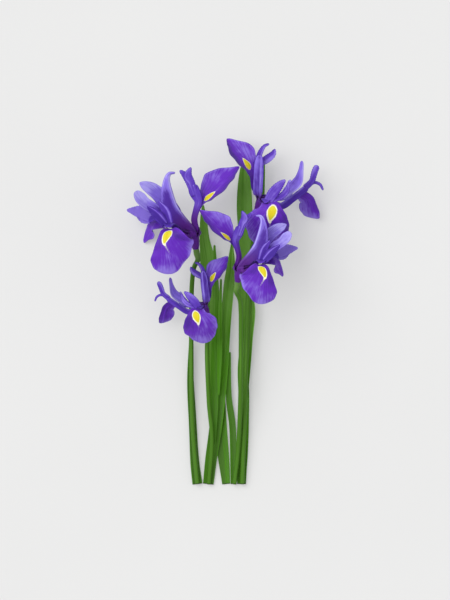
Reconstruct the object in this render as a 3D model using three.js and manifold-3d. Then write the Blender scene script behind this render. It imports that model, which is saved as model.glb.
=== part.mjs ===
// A bunch of four cut Dutch irises with their leaves, lying flat.
// Millimetres. X runs across the bunch, Y from the cut ends to the blooms, Z up from the surface.
// The origin is at the middle of the bunch, on the surface that it lies on.
import * as THREE from 'three';
import { mergeVertices } from 'three/addons/utils/BufferGeometryUtils.js';
import Module from 'manifold-3d';

const wasm = await Module();
wasm.setup();

// Driving dimensions.
const PETAL_THICKNESS = 1.0;
const LEAF_THICKNESS = 1.1;
const RIM_SHARE = 0.7;
const STEM_RADIUS = 2.3;
const OVARY_RADIUS = 3.1;
const TUBE_RADIUS = 4.7;
const TUBE_BORE = 3.2;
const TUBE_LENGTH = 13;
const SLEEVE_RADIUS = 2.8;
const SLEEVE_BORE = 1.9;
const STYLE_RADIUS = 1.5;
const STEP_ALONG = 7.4;
const ROOT_GATHER = 1.3;
const CLEARANCE = 0.35;

// Where a petal leaves the tube: height up the tube, distance from its axis, half width.
const FALL_ROOT = [[6, 3.8, 2.6], [12, 4.4, 3.4], [15.5, 7.2, 4.4]];
const STANDARD_ROOT = [[7, 2.35, 1.1], [12.5, 2.5, 1.1], [16.5, 3.2, 1.8]];
const ARM_ROOT = [[8, 0.4, 0.9], [13, 1.2, 0.9], [17, 4.5, 1.5]];
const STEM_SIDES = 8;

const COLOURS = {
  fall: 0x6a35c0,
  standard: 0x8d7ade,
  style: 0x7653c7,
  stem: 0x4c7029,
  leaf: 0x3f7511,
};

// Each row of a petal or leaf: x, y, z, width to the left, width to the right, cup, facing x, y, z.
// Seen along the blade from its root with the facing side up, left is the left hand.
// The cup is the angle in radians through which each half turns towards the facing side.
// Petal rows are measured from the foot of the bloom, in millimetres at a scale of 1.

// First kind of bloom: seen from its side, one fall towards the viewer.
const SIDE_BLOOM = {
  axis: [-0.14, 0.93, 0.30],
  spokes: [[-0.24, -0.40, 0.88], [0.80, 0.59, -0.08], [-0.58, -0.16, -0.80]],
  falls: [
    [
      [-8, 11, 14.5, 4.8, 4.8, 0.5, -0.3, 0.8, -0.3],
      [-15, 12.5, 21, 5, 5, 0.4, -0.3, 0.8, -0.3],
      [-24, 19, 38, 4.5, 4.5, 0.4, -0.3, 0.9, 0.2],
      [-28.5, 17, 47, 19, 6, 0.1, -0.2, 0.6, 0.75],
      [-30, 9, 50.5, 27, 8.5, -0.3, -0.1, 0.2, 0.98],
      [-29, 0, 50, 28, 13.5, -0.4, 0, 0, 1],
      [-27, -11, 47, 22, 18.5, -0.4, 0, -0.15, 0.98],
      [-25, -20, 42, 13.5, 16.5, -0.4, 0, -0.3, 0.95],
      [-25.5, -25.5, 37, 6.5, 10, -0.2, 0, -0.4, 0.9],
    ],
    [
      [0.8, 20, 1, 3.8, 3.8, 0.4, -0.6, 0.2, 0.75],
      [-1, 29, 2, 4, 4, 0.5, -0.5, 0.3, 0.8],
      [0.8, 37, 3, 4.2, 4.2, 0.5, -0.5, 0.4, 0.75],
      [5.5, 46, 5, 5.5, 8, 0.8, -0.5, 0.5, 0.7],
      [14, 54, 7, 15, 16, 0.9, -0.5, 0.5, 0.7],
      [22, 61, 8, 20.5, 20, 0.9, -0.5, 0.5, 0.7],
      [32, 71, 5, 15, 15.5, 0.9, -0.5, 0.5, 0.7],
      [39, 78, 2, 6, 6, 0.7, -0.5, 0.5, 0.7],
      [43, 82, 0, 1.5, 1.5, 0.3, -0.5, 0.5, 0.7],
    ],
    [
      [-24, 18, -13, 3.4, 3.4, 0.4, 0.1, 0.9, -0.3],
      [-37, 23, -21, 6, 6, 0.3, -0.3, 0.7, 0.6],
      [-43, 23, -25, 8, 8, 0.1, -0.6, 0.5, 0.4],
      [-46, 17, -30, 8.5, 9, -0.2, -0.7, 0.1, 0.6],
      [-49, 12, -36, 4, 6, -0.2, -0.7, 0, 0.6],
      [-52.5, 6.5, -42, 1.5, 1.5, -0.1, -0.7, 0, 0.6],
    ],
  ],
  standards: [
    [
      [-5, 21, -2, 1.6, 1.6, 0.4, -0.2, -0.3, 0.93],
      [-16, 30, -4, 6, 6, 0.5, -0.2, -0.3, 0.93],
      [-29, 45, -3, 11, 11, 0.5, -0.2, -0.3, 0.93],
      [-38, 53.5, -1, 9.5, 10.5, 0.4, -0.2, -0.3, 0.93],
      [-45, 59.5, 2, 7, 8, 0.2, -0.2, -0.3, 0.93],
      [-51, 63, 4, 4.5, 5.5, 0.1, -0.2, -0.3, 0.93],
      [-56, 65.8, 5, 1, 1, 0, -0.2, -0.3, 0.93],
    ],
    [
      [-12, 20, 5, 1.8, 1.8, 0.4, 0.4, 0.5, 0.75],
      [-25, 28, 4, 4.5, 4.5, 0.5, 0.4, 0.5, 0.75],
      [-40, 38.5, 8, 8, 8, 0.5, 0.4, 0.5, 0.75],
      [-50, 45.5, 8, 9.5, 9, 0.3, 0.4, 0.5, 0.75],
      [-56, 52.5, 6, 7, 7.5, 0.1, 0.4, 0.5, 0.75],
      [-58.5, 58, 4, 3.5, 3.5, 0, 0.4, 0.5, 0.75],
    ],
    [
      [-4.5, 21.5, 11, 2.5, 4.5, 0.3, -0.2, -0.2, -0.9],
      [-13, 31, 14.5, 3, 13.5, 0.4, -0.2, -0.2, -0.9],
      [-20.5, 42, 16, 3, 14, 0.5, -0.2, -0.2, -0.9],
      [-26, 58, 18, 3, 9, 0.5, -0.2, -0.2, -0.9],
      [-28, 69, 16, 2.5, 4, 0.4, -0.2, -0.2, -0.9],
      [-26, 74.5, 13, 2, 2, 0.2, 0.2, 0.3, -0.9],
      [-20.5, 75.5, 11, 1, 1, 0, 0.2, 0.3, -0.9],
    ],
  ],
  styles: [
    {
      arm: [
        [-8, 15.3, 15, 2.2, 2.2, -0.3, -0.3, 0.8, -0.3],
        [-15, 18, 21.5, 3.4, 3.4, -0.5, -0.3, 0.8, -0.3],
        [-24, 25, 34, 5, 5, -0.6, -0.3, 0.9, 0.2],
        [-32, 25, 46, 8, 7, -0.6, -0.2, 0.7, 0.6],
      ],
      lobes: [
        [[-30, 24, 44, 4, 4, 0, -0.2, 0.5, 0.8], [-38, 33, 49, 5, 5, 0, -0.2, 0.2, 0.9],
          [-48, 42, 50, 1.2, 1.2, 0, -0.2, 0.2, 0.9]],
        [[-26, 25, 42, 4, 4, 0, -0.2, 0.5, 0.8], [-30, 37, 46, 4.5, 4.5, 0, -0.2, 0.2, 0.9],
          [-37, 47, 46, 1.2, 1.2, 0, -0.2, 0.2, 0.9]],
      ],
    },
    {
      arm: [
        [0, 20.5, 6, 3.2, 3.2, -0.3, -0.5, 0.2, 0.8],
        [-1.8, 29, 7.5, 3.6, 3.6, -0.3, -0.4, 0.2, 0.85],
        [0, 38, 9, 3.8, 3.8, -0.3, -0.4, 0.3, 0.85],
        [2, 47, 11, 4.4, 4.4, -0.4, -0.3, 0.2, 0.9],
        [-0.5, 56, 12, 6.5, 5.2, -0.2, -0.2, 0, 0.95],
        [-2.8, 64, 12.8, 5.2, 3.8, -0.1, 0, 0, 1],
      ],
      lobes: [
        [[0, 53, 12, 3, 3, 0, 0, 0, 1], [-4, 66, 13.5, 4, 3, 0, 0, 0, 1],
          [-6.8, 73, 14, 5, 3, 0, 0, 0, 1], [-5, 81, 14, 1, 1, 0, 0, 0, 1]],
        [[-2, 53, 12, 3, 3, 0, 0, 0, 1], [-7, 64, 12.5, 2.4, 2.4, 0, 0, 0, 1],
          [-11, 73, 12, 3, 3, 0, 0, 0, 1], [-16, 78, 11, 1.2, 1.2, 0, 0, 0, 1]],
      ],
    },
    {
      arm: [
        [-24, 23.5, -10, 2.6, 2.6, -0.4, 0.1, 0.9, -0.3],
        [-37, 31, -17, 4.5, 4.5, -0.4, -0.3, 0.9, 0.2],
        [-47, 32, -22, 8, 8, -0.3, -0.4, 0.4, 0.6],
      ],
      lobes: [
        [[-45, 31, -21, 5, 6, 0, -0.2, 0.2, 0.9], [-56, 35, -20, 4.5, 8.5, 0, -0.2, 0.2, 0.9],
          [-69, 39, -17, 1.2, 1.2, 0, -0.2, 0.2, 0.9]],
        [[-45, 30, -21, 5, 5, 0, -0.2, 0.2, 0.9], [-52.5, 30, -21, 4.2, 4.5, 0, -0.2, 0.2, 0.9],
          [-60, 35, -20, 1.2, 1.2, 0, -0.2, 0.2, 0.9]],
      ],
    },
  ],
};

// Second kind of bloom: leaning towards the viewer, one fall in front and one out to each side.
const FRONT_BLOOM = {
  axis: [0.3, 0.78, 0.55],
  spokes: [[-0.085, -0.598, 0.800], [-0.710, 0.678, -0.189], [0.800, -0.078, -0.606]],
  falls: [
    [
      [6, 8.5, 23, 4.2, 4.2, 0.5, -0.1, 0.9, 0.2],
      [9, 8, 38, 5, 5, 0.4, -0.1, 0.8, 0.4],
      [11.5, 5, 48, 10.5, 12, 0, -0.1, 0.5, 0.8],
      [12, -2, 51, 16.5, 19, -0.4, 0, 0.2, 0.98],
      [9.5, -11, 47, 23.5, 21, -0.4, 0, -0.2, 0.98],
      [8.5, -21, 36, 22.5, 20.5, -0.4, 0, -0.5, 0.85],
      [7, -29.5, 24, 14.5, 15, -0.4, 0, -0.6, 0.8],
      [7.5, -36, 13, 5.5, 7.5, -0.2, 0, -0.7, 0.7],
    ],
    [
      [-2, 24, 6.5, 4.6, 4.6, 0.5, 0.3, 0, 0.9],
      [-4, 36, 8, 6.5, 5, 0.6, 0.5, 0.3, 0.8],
      [-9, 46, 10, 13, 10.5, 0.8, 0.45, 0.45, 0.77],
      [-14.5, 54, 10, 17, 15.5, 0.7, 0.45, 0.45, 0.77],
      [-20.5, 61.5, 8, 14.5, 13.5, 0.7, 0.45, 0.45, 0.77],
      [-26.5, 69, 4, 6.5, 5, 0.6, 0.45, 0.45, 0.77],
      [-30, 72.5, 2, 1.5, 1.5, 0.3, 0.5, 0.5, 0.7],
    ],
    [
      [14, 7, 1, 3, 3, 0.3, -0.3, 0.9, 0.2],
      [23, 5.5, -1, 3.4, 3.4, 0.4, -0.3, 0.9, 0.2],
      [35, 11.5, -3, 4, 4, 0.4, -0.3, 0.9, 0.2],
      [42, 16, -5, 9, 6.5, 0.1, 0.4, 0.5, -0.6],
      [50, 13, -8, 13.5, 8, -0.2, 0.5, 0.4, -0.7],
      [53.7, 7, -12, 17.5, 7.5, -0.3, 0.5, 0.2, -0.8],
      [55.7, 0, -17, 14.5, 8.5, -0.3, 0.5, 0, -0.85],
      [57, -7, -21.5, 10.5, 8.5, -0.2, 0.6, -0.2, -0.8],
    ],
  ],
  standards: [
    [
      [10, 15, 3, 1.8, 1.8, 0.3, -0.3, -0.5, 0.8],
      [18, 14, -1, 3.6, 3.6, 0.5, -0.3, -0.5, 0.8],
      [27, 16, 0, 5, 5, 0.5, -0.3, -0.5, 0.8],
      [32, 22, 7, 5, 5, 0.3, -0.3, -0.3, 0.9],
      [33, 31.5, 9, 1.5, 1.5, 0, -0.3, -0.3, 0.9],
    ],
    [
      [12, 11.5, 15, 2.2, 2.2, 0.3, -0.4, 0.6, 0.7],
      [21, 12.5, 19, 4, 4, 0.5, -0.4, 0.6, 0.7],
      [32, 19, 22, 7, 6.5, 0.5, -0.5, 0.5, 0.7],
      [42, 28.5, 25, 8, 5.5, 0.5, -0.6, 0.3, 0.7],
      [43.8, 40, 28, 3.8, 3.8, 0.3, -0.7, 0, 0.7],
      [44.5, 50, 29, 2.2, 2.2, 0, -0.7, 0, 0.7],
    ],
    [
      [1, 17.5, 15, 4.4, 5, 0.3, 0.1, -0.2, -0.9],
      [1, 24, 18.5, 4.8, 5.6, 0.4, 0.1, -0.2, -0.9],
      [1.4, 32, 20, 4.8, 5.6, 0.5, 0.1, -0.2, -0.9],
      [1.8, 45, 22.5, 4.8, 5.2, 0.4, 0.1, -0.2, -0.9],
      [2.6, 56, 22, 3, 3.4, 0.2, 0.1, -0.2, -0.9],
    ],
  ],
  styles: [
    {
      arm: [
        [6.5, 12, 23, 2.6, 2.6, -0.4, -0.1, 0.9, 0.2],
        [9, 12, 34, 4.6, 4.6, -0.6, -0.1, 0.9, 0.3],
        [13, 10.5, 44.5, 6.5, 6.5, -0.5, -0.1, 0.7, 0.6],
      ],
      lobes: [
        [[11, 10, 43.5, 4.5, 4.5, 0, 0, 0.3, 0.9], [15.2, 17.4, 46, 5, 5.5, 0, 0, 0, 1],
          [21.6, 25.2, 46, 3.9, 4.5, 0, 0, 0, 1], [28, 31, 44, 1.2, 1.2, 0, 0, 0, 1]],
        [[15.5, 11, 44, 3, 3, 0, 0, 0.3, 0.9], [24, 14.5, 43, 3, 3, 0, 0, 0, 1],
          [29.5, 20.5, 42, 2.6, 2.6, 0, 0, 0, 1], [31.5, 29, 40, 1, 1, 0, 0, 0, 1]],
      ],
    },
    {
      arm: [
        [1.2, 24, 10.5, 2.4, 2.4, -0.3, 0.2, 0, 0.9],
        [2, 38, 12, 3.4, 3.4, -0.4, 0.2, 0, 0.9],
        [0.5, 51, 15, 5.5, 5.5, -0.4, 0.2, 0, 0.9],
      ],
      lobes: [
        [[0, 49, 14.5, 3, 3, 0, 0, 0, 1], [3, 58, 17, 2.6, 2.6, 0, 0, 0, 1],
          [7, 64.5, 17, 1.8, 1.8, 0, 0, 0, 1], [12, 67, 15, 1, 1, 0, 0, 0, 1]],
        [[2, 47, 14, 3, 3, 0, 0, 0, 1], [9, 52, 14, 3.4, 4.4, 0, 0, 0, 1],
          [15, 57, 13, 2.6, 3.8, 0, 0, 0, 1], [18, 62, 12, 1, 1, 0, 0, 0, 1]],
      ],
    },
    {
      arm: [
        [14.5, 10, 8, 2.8, 2.8, -0.3, -0.25, 0.5, 0.83],
        [24, 5.5, 6, 4.2, 4.2, -0.4, -0.25, 0.45, 0.86],
        [36, 13.5, 4, 4.2, 4.2, -0.4, -0.25, 0.45, 0.86],
        [50, 24.5, 2, 4, 4, -0.4, -0.25, 0.45, 0.86],
      ],
      lobes: [
        [[48, 23.5, 2, 3.4, 3.4, 0, -0.2, 0.2, 0.9], [54.5, 30, 3, 3, 3, 0, -0.2, 0, 0.9],
          [57, 38, 4, 3.2, 3.2, 0, -0.2, 0, 0.9], [60, 46, 4, 3, 3, 0, -0.2, 0, 0.9]],
        [[48, 24, 1.5, 2.4, 2.4, 0, 0, 0.2, 0.9], [56, 28.5, 0, 1.7, 1.7, 0, 0, 0.2, 0.9],
          [62.5, 27, -1, 1.5, 1.5, 0, 0, 0.2, 0.9], [66, 21, -2, 1, 1, 0, 0, 0.2, 0.9]],
      ],
    },
  ],
};

// Where each bloom stands: its foot, its scale, the flattening of its depth by its own weight.
const BLOOMS = [
  { name: 'iris_a', kind: SIDE_BLOOM, foot: [-29, 61.5, 36.8], scale: 1.0, flat: 0.85, mirror: 1, turn: 0 },
  { name: 'iris_b', kind: SIDE_BLOOM, foot: [12.5, 28.5, 57], scale: 0.87, flat: 0.85, mirror: -1, turn: 0 },
  { name: 'iris_c', kind: FRONT_BLOOM, foot: [32, 99, 20.5], scale: 1.0, flat: 0.75, mirror: 1, turn: 0 },
  { name: 'iris_d', kind: FRONT_BLOOM, foot: [-17.2, -4.1, 32], scale: 0.785, flat: 0.75, mirror: -1, turn: -3.6 },
];

// Stems from the cut end upwards: x, y, z. The bloom adds the last stretch under its foot.
const STEMS = {
  iris_a: [[-27.7, -173.5, 4.4], [-32, -119.5, 5.4], [-33.5, -69.5, 8], [-33.5, 10.5, 15], [-31.5, 40, 25]],
  iris_b: [[9.4, -173.5, 4.2], [13, -139.5, 9], [15.2, -89.5, 20], [15.8, -20, 38], [15.2, 8, 48]],
  iris_c: [[17.2, -173.5, 4], [20, -89.5, 11], [23, 10.5, 15.2], [28, 70, 15.4]],
  iris_d: [[-16.3, -173.5, 4], [-13, -129.5, 11], [-16.3, -89.5, 16], [-18, -34.5, 25]],
};

// Leaves from the cut end, or from the stem that they clasp, to the tip. Rows as for petals.
const LEAVES = {
  leaf_1: [
    [1.2, -173.5, 0.55, 4.2, 4.2, 0.4, 0, 0, 1],
    [-1.2, -149.5, 0.7, 5.6, 5.6, 0.4, 0, 0, 1],
    [-4.4, -119.5, 0.9, 6.8, 6.8, 0.4, 0, 0, 1],
    [-8, -79.5, 1.6, 7.4, 7.4, 0.4, 0, 0, 1],
    [-13, -34.5, 3, 6.6, 6.6, 0.4, 0, 0, 1],
    [-15.5, 10.5, 4, 7.2, 7.2, 0.4, 0, 0, 1],
    [-17.3, 48.5, 5, 7.6, 7.6, 0.4, 0, 0, 1],
    [-20.5, 72, 6, 5.2, 5.2, 0.4, 0, 0, 1],
    [-21.5, 92, 8, 3.4, 3.4, 0.4, 0, 0, 1],
    [-22, 105.5, 10, 1, 1, 0.4, 0, 0, 1],
  ],
  leaf_2: [
    [-16.8, -173.5, 0.55, 5.6, 5.6, 0.5, 0, 0, 1],
    [-14, -149.5, 2, 6, 6, 0.5, 0, 0, 1],
    [-9.8, -119.5, 3.8, 6.6, 6.6, 0.5, 0, 0, 1],
    [-4.3, -69.5, 6.2, 6.8, 6.8, 0.5, 0, 0, 1],
    [-0.8, -29.5, 8, 5.8, 5.8, 0.5, 0, 0, 1],
    [3.5, 20.5, 10, 5.5, 5.5, 0.5, 0, 0, 1],
    [6, 40.5, 12, 5, 5, 0.5, 0, 0, 1],
    [7, 67.5, 14, 1, 1, 0.5, 0, 0, 1],
  ],
  leaf_3: [
    [-12.3, -132, 7.4, 3, 3, 0.5, 0, 0, 1],
    [-11, -105, 8.8, 3.8, 3.8, 0.5, 0, 0, 1],
    [-10.5, -89.5, 9.5, 4, 4, 0.5, 0, 0, 1],
    [-11, -34.5, 12.5, 4.5, 4.5, 0.5, 0, 0, 1],
    [-10, 5.5, 14.5, 5, 5, 0.5, 0, 0, 1],
    [-10, 25.5, 15, 4, 4, 0.5, 0, 0, 1],
    [-10.5, 65.5, 15, 1, 1, 0.5, 0, 0, 1],
  ],
  leaf_4: [
    [-6.3, -84, 12.6, 0.9, 0.9, 0.5, 0, 0, 1],
    [-5.5, -45, 15, 2.6, 2.6, 0.5, 0, 0, 1],
    [-5, -9.5, 17.2, 2.2, 2.2, 0.5, 0, 0, 1],
    [-4, 31.5, 18, 0.9, 0.9, 0.5, 0, 0, 1],
  ],
  leaf_5: [
    [16.6, -173.5, 0.55, 4.5, 4.5, 0.5, 0, 0, 1],
    [16.8, -159.5, 0.7, 5.2, 5.2, 0.5, 0, 0, 1],
    [17.8, -139.5, 0.9, 5.4, 5.4, 0.5, 0, 0, 1],
    [18.8, -89.5, 2, 5.8, 5.8, 0.5, 0, 0, 1],
    [18, -59.5, 2.6, 5.5, 5.5, 0.5, 0, 0, 1],
    [21, -29.5, 3.4, 6.5, 6.5, 0.5, 0, 0, 1],
    [20, 10.5, 4.4, 7, 7, 0.5, 0, 0, 1],
    [20.5, 70.5, 6, 7.5, 7.5, 0.5, 0, 0, 1],
    [19.4, 105.5, 7, 8.1, 8.1, 0.5, 0, 0, 1],
    [19.7, 138.5, 9, 5.4, 5.4, 0.5, 0, 0, 1],
    [20, 150.5, 10, 1, 1, 0.5, 0, 0, 1],
  ],
  leaf_6: [
    [20.2, -84, 7.7, 3, 3, 0.5, 0, 0, 1],
    [21.5, -59.5, 8.6, 4, 4, 0.5, 0, 0, 1],
    [23.3, -29.5, 9.6, 4.6, 4.6, 0.5, 0, 0, 1],
    [25.5, 0.5, 10.4, 5, 5, 0.5, 0, 0, 1],
    [25, 20.5, 10.8, 1, 1, 0.5, 0, 0, 1],
  ],
  leaf_7: [
    [24.3, 27, 12, 2.2, 2.2, 0.5, 0, 0, 1],
    [27, 42, 11.5, 2.6, 2.6, 0.5, 0, 0, 1],
    [31, 65, 9.6, 2.8, 2.8, 0.5, 0, 0, 1],
    [36, 100, 6.5, 2.8, 2.8, 0.5, 0, 0, 1],
    [38, 130.5, 6, 2, 2, 0.5, 0, 0, 1],
    [39, 152.5, 7, 0.9, 0.9, 0.5, 0, 0, 1],
  ],
  leaf_8: [
    [8.4, -173.5, 0.55, 2.9, 2.9, 0.5, 0, 0, 1],
    [7.7, -119.5, 1.7, 3.5, 3.5, 0.5, 0, 0, 1],
    [3.8, -84.5, 4, 3, 3, 0.5, 0, 0, 1],
    [5, -41.5, 7, 0.9, 0.9, 0.5, 0, 0, 1],
  ],
  leaf_9: [
    [-27.6, -173.5, 0.55, 5.2, 5.2, 0.5, 0, 0, 1],
    [-30.3, -149.5, 0.8, 4.6, 4.6, 0.5, 0, 0, 1],
    [-32.5, -109.5, 1.6, 4, 4, 0.5, 0, 0, 1],
    [-34.5, -69.5, 3, 3.5, 3.5, 0.5, 0, 0, 1],
    [-35, -29.5, 6, 0.9, 0.9, 0.5, 0, 0, 1],
  ],
};

// Catmull-Rom rows evenly spaced along the path, each column smoothed in the same way.
function smoothRows(rows, count, gather = 1) {
  const last = rows.length - 1;
  const width = rows[0].length;
  const ahead = rows[0].map((value, k) => 2 * value - rows[1][k]);
  const after = rows[last].map((value, k) => 2 * value - rows[last - 1][k]);
  const padded = [ahead, ...rows, after];
  const fine = [];
  for (let step = 0; step <= last * 24; step += 1) {
    const place = step / 24;
    const i = Math.min(Math.floor(place), last - 1);
    const w = place - i;
    const row = [];
    for (let k = 0; k < width; k += 1) {
      const [a, b, c, d] = [padded[i][k], padded[i + 1][k], padded[i + 2][k], padded[i + 3][k]];
      const cubic = -a + 3 * b - 3 * c + d;
      row.push(0.5 * (2 * b + (c - a) * w + (2 * a - 5 * b + 4 * c - d) * w * w + cubic * w * w * w));
    }
    fine.push(row);
  }
  const reach = [0];
  for (let i = 1; i < fine.length; i += 1) {
    const [p, q] = [fine[i - 1], fine[i]];
    reach.push(reach[i - 1] + Math.hypot(q[0] - p[0], q[1] - p[1], q[2] - p[2]));
  }
  const length = reach[reach.length - 1];
  const steps = count ?? Math.max(2, Math.round(length / STEP_ALONG));
  const even = [];
  let i = 0;
  for (let n = 0; n <= steps; n += 1) {
    const want = length * (n / steps) ** gather;
    while (i < reach.length - 2 && reach[i + 1] < want) i += 1;
    const w = Math.min(1, (want - reach[i]) / Math.max(reach[i + 1] - reach[i], 1e-9));
    even.push(fine[i].map((value, k) => value + w * (fine[i + 1][k] - value)));
  }
  return even;
}

const vector = (row, at = 0) => new THREE.Vector3(row[at], row[at + 1], row[at + 2]);

function difference(list, i) {
  const before = list[Math.max(i - 1, 0)];
  const beyond = list[Math.min(i + 1, list.length - 1)];
  return beyond.clone().sub(before);
}

// Middle surface of a blade as a grid of points.
function bladeGrid(rows, across, count, gather) {
  const even = smoothRows(rows, count, gather);
  const centres = even.map((row) => vector(row));
  return even.map((row, i) => {
    const ahead = difference(centres, i).normalize();
    const facing = vector(row, 6);
    facing.addScaledVector(ahead, -facing.dot(ahead)).normalize();
    const right = ahead.clone().cross(facing);
    const cup = Math.abs(row[5]) < 1e-3 ? 1e-3 : row[5];
    const line = [];
    for (let j = 0; j <= across; j += 1) {
      const s = -1 + 2 * j / across;
      const width = Math.max(s < 0 ? row[3] : row[4], 0.9);
      const point = centres[i].clone();
      point.addScaledVector(right, width * Math.sin(cup * s) / cup);
      point.addScaledVector(facing, width * (1 - Math.cos(cup * s)) / cup);
      line.push(point);
    }
    return line;
  });
}

// Rows with their widths grown, and their ends moved out along the blade by as much.
function grownRows(rows, grow) {
  const wider = rows.map((row) => row.map((value, k) => (k === 3 || k === 4 ? value + grow : value)));
  for (const [end, inner] of [[0, 1], [rows.length - 1, rows.length - 2]]) {
    const out = vector(rows[end]).sub(vector(rows[inner])).setLength(grow);
    wider[end][0] += out.x;
    wider[end][1] += out.y;
    wider[end][2] += out.z;
  }
  return wider;
}

// Closed solid around a grid: thickest along the middle, never below the surface it lies on.
function bladeSolid(rows, thickness, across = 4, count = undefined, gather = 1, grow = 0) {
  const wider = grownRows(rows, grow);
  const grid = bladeGrid(wider, across, count, gather);
  const long = grid.length;
  const wide = across + 1;
  const upper = [];
  const lower = [];
  for (let i = 0; i < long; i += 1) {
    for (let j = 0; j < wide; j += 1) {
      const along = difference(grid.map((line) => line[j]), i);
      const sideways = difference(grid[i], j);
      const normal = along.cross(sideways).normalize();
      const s = -1 + 2 * j / across;
      const half = grow + 0.5 * thickness * (1 - (1 - RIM_SHARE) * s * s);
      const top = grid[i][j].clone().addScaledVector(normal, -half);
      const base = grid[i][j].clone().addScaledVector(normal, half);
      const lift = Math.max(0, -Math.min(top.z, base.z));
      top.z += lift;
      base.z += lift;
      upper.push(top);
      lower.push(base);
    }
  }
  const points = [...upper, ...lower];
  const shift = upper.length;
  const at = (i, j) => i * wide + j;
  const faces = [];
  for (let i = 0; i + 1 < long; i += 1) {
    for (let j = 0; j + 1 < wide; j += 1) {
      const [a, b, c, d] = [at(i, j), at(i + 1, j), at(i + 1, j + 1), at(i, j + 1)];
      faces.push([a, b, c], [a, c, d]);
      faces.push([a + shift, c + shift, b + shift], [a + shift, d + shift, c + shift]);
    }
  }
  const rim = [];
  for (let i = 0; i + 1 < long; i += 1) rim.push([at(i + 1, 0), at(i, 0)]);
  for (let j = 0; j + 1 < wide; j += 1) rim.push([at(0, j), at(0, j + 1)]);
  for (let i = 0; i + 1 < long; i += 1) rim.push([at(i, wide - 1), at(i + 1, wide - 1)]);
  for (let j = wide - 1; j > 0; j -= 1) rim.push([at(long - 1, j), at(long - 1, j - 1)]);
  for (const [p, q] of rim) {
    faces.push([p, q, q + shift], [p, q + shift, p + shift]);
  }
  return { points, faces };
}

// Round stalk through rows of x, y, z, radius, closed at both ends.
function stalkSolid(rows, sides, count) {
  const even = smoothRows(rows, count);
  const centres = even.map((row) => vector(row));
  const points = [];
  const faces = [];
  even.forEach((row, i) => {
    const ahead = difference(centres, i).normalize();
    const up = new THREE.Vector3(0, 0, 1);
    if (Math.abs(ahead.z) > 0.95) up.set(0, 1, 0);
    up.addScaledVector(ahead, -up.dot(ahead)).normalize();
    const right = ahead.clone().cross(up);
    for (let k = 0; k < sides; k += 1) {
      const angle = 2 * Math.PI * k / sides;
      const point = centres[i].clone();
      point.addScaledVector(right, row[3] * Math.cos(angle));
      point.addScaledVector(up, row[3] * Math.sin(angle));
      points.push(point);
    }
  });
  for (let i = 0; i + 1 < even.length; i += 1) {
    for (let k = 0; k < sides; k += 1) {
      const n = (k + 1) % sides;
      const [a, b, c, d] = [i * sides + k, i * sides + n, (i + 1) * sides + n, (i + 1) * sides + k];
      faces.push([a, b, c], [a, c, d]);
    }
  }
  const end = (even.length - 1) * sides;
  for (let k = 1; k + 1 < sides; k += 1) {
    faces.push([0, k + 1, k]);
    faces.push([end, end + k, end + k + 1]);
  }
  return { points, faces };
}

// Turns points and faces into a solid whose faces point out.
function toManifold({ points, faces }) {
  let volume = 0;
  for (const [a, b, c] of faces) {
    volume += points[a].dot(points[b].clone().cross(points[c]));
  }
  const turned = volume < 0 ? faces.map(([a, b, c]) => [a, c, b]) : faces;
  return new wasm.Manifold(new wasm.Mesh({
    numProp: 3,
    vertProperties: new Float32Array(points.flatMap((p) => [p.x, p.y, p.z])),
    triVerts: new Uint32Array(turned.flat()),
  }));
}

// A round wall about an axis, open right through.
function ringSolid(origin, axis, outer, bore, from, to, sides = 14) {
  const profile = [[bore, from], [outer, from], [outer, to], [bore, to], [bore, from]];
  const lathe = new THREE.LatheGeometry(profile.map(([r, h]) => new THREE.Vector2(r, h)), sides);
  const turn = new THREE.Quaternion().setFromUnitVectors(new THREE.Vector3(0, 1, 0), axis);
  lathe.applyQuaternion(turn);
  lathe.translate(origin.x, origin.y, origin.z);
  return manifoldOf(lathe);
}

function rodSolid(origin, axis, radius, from, to, sides = 10) {
  const lathe = new THREE.LatheGeometry([
    new THREE.Vector2(0, from), new THREE.Vector2(radius, from),
    new THREE.Vector2(radius, to), new THREE.Vector2(0, to)], sides);
  const turn = new THREE.Quaternion().setFromUnitVectors(new THREE.Vector3(0, 1, 0), axis);
  lathe.applyQuaternion(turn);
  lathe.translate(origin.x, origin.y, origin.z);
  return manifoldOf(lathe);
}

function manifoldOf(geometry) {
  geometry.deleteAttribute('normal');
  geometry.deleteAttribute('uv');
  const merged = mergeVertices(geometry, 1e-4);
  const place = merged.attributes.position;
  const points = [];
  for (let i = 0; i < place.count; i += 1) {
    points.push(new THREE.Vector3().fromBufferAttribute(place, i));
  }
  const faces = [];
  for (let i = 0; i < merged.index.count; i += 3) {
    const [a, b, c] = [0, 1, 2].map((k) => merged.index.getX(i + k));
    if (a !== b && b !== c && c !== a) faces.push([a, b, c]);
  }
  return toManifold({ points, faces });
}

const group = new THREE.Group();

function addMesh(name, solid, colour, roughness) {
  const mesh = solid.getMesh();
  const geometry = new THREE.BufferGeometry();
  geometry.setAttribute('position', new THREE.Float32BufferAttribute(mesh.vertProperties, 3));
  geometry.setIndex([...mesh.triVerts]);
  geometry.computeVertexNormals();
  const material = new THREE.MeshStandardMaterial({ color: colour, roughness, metalness: 0 });
  const piece = new THREE.Mesh(geometry, material);
  piece.name = name;
  group.add(piece);
}

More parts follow.
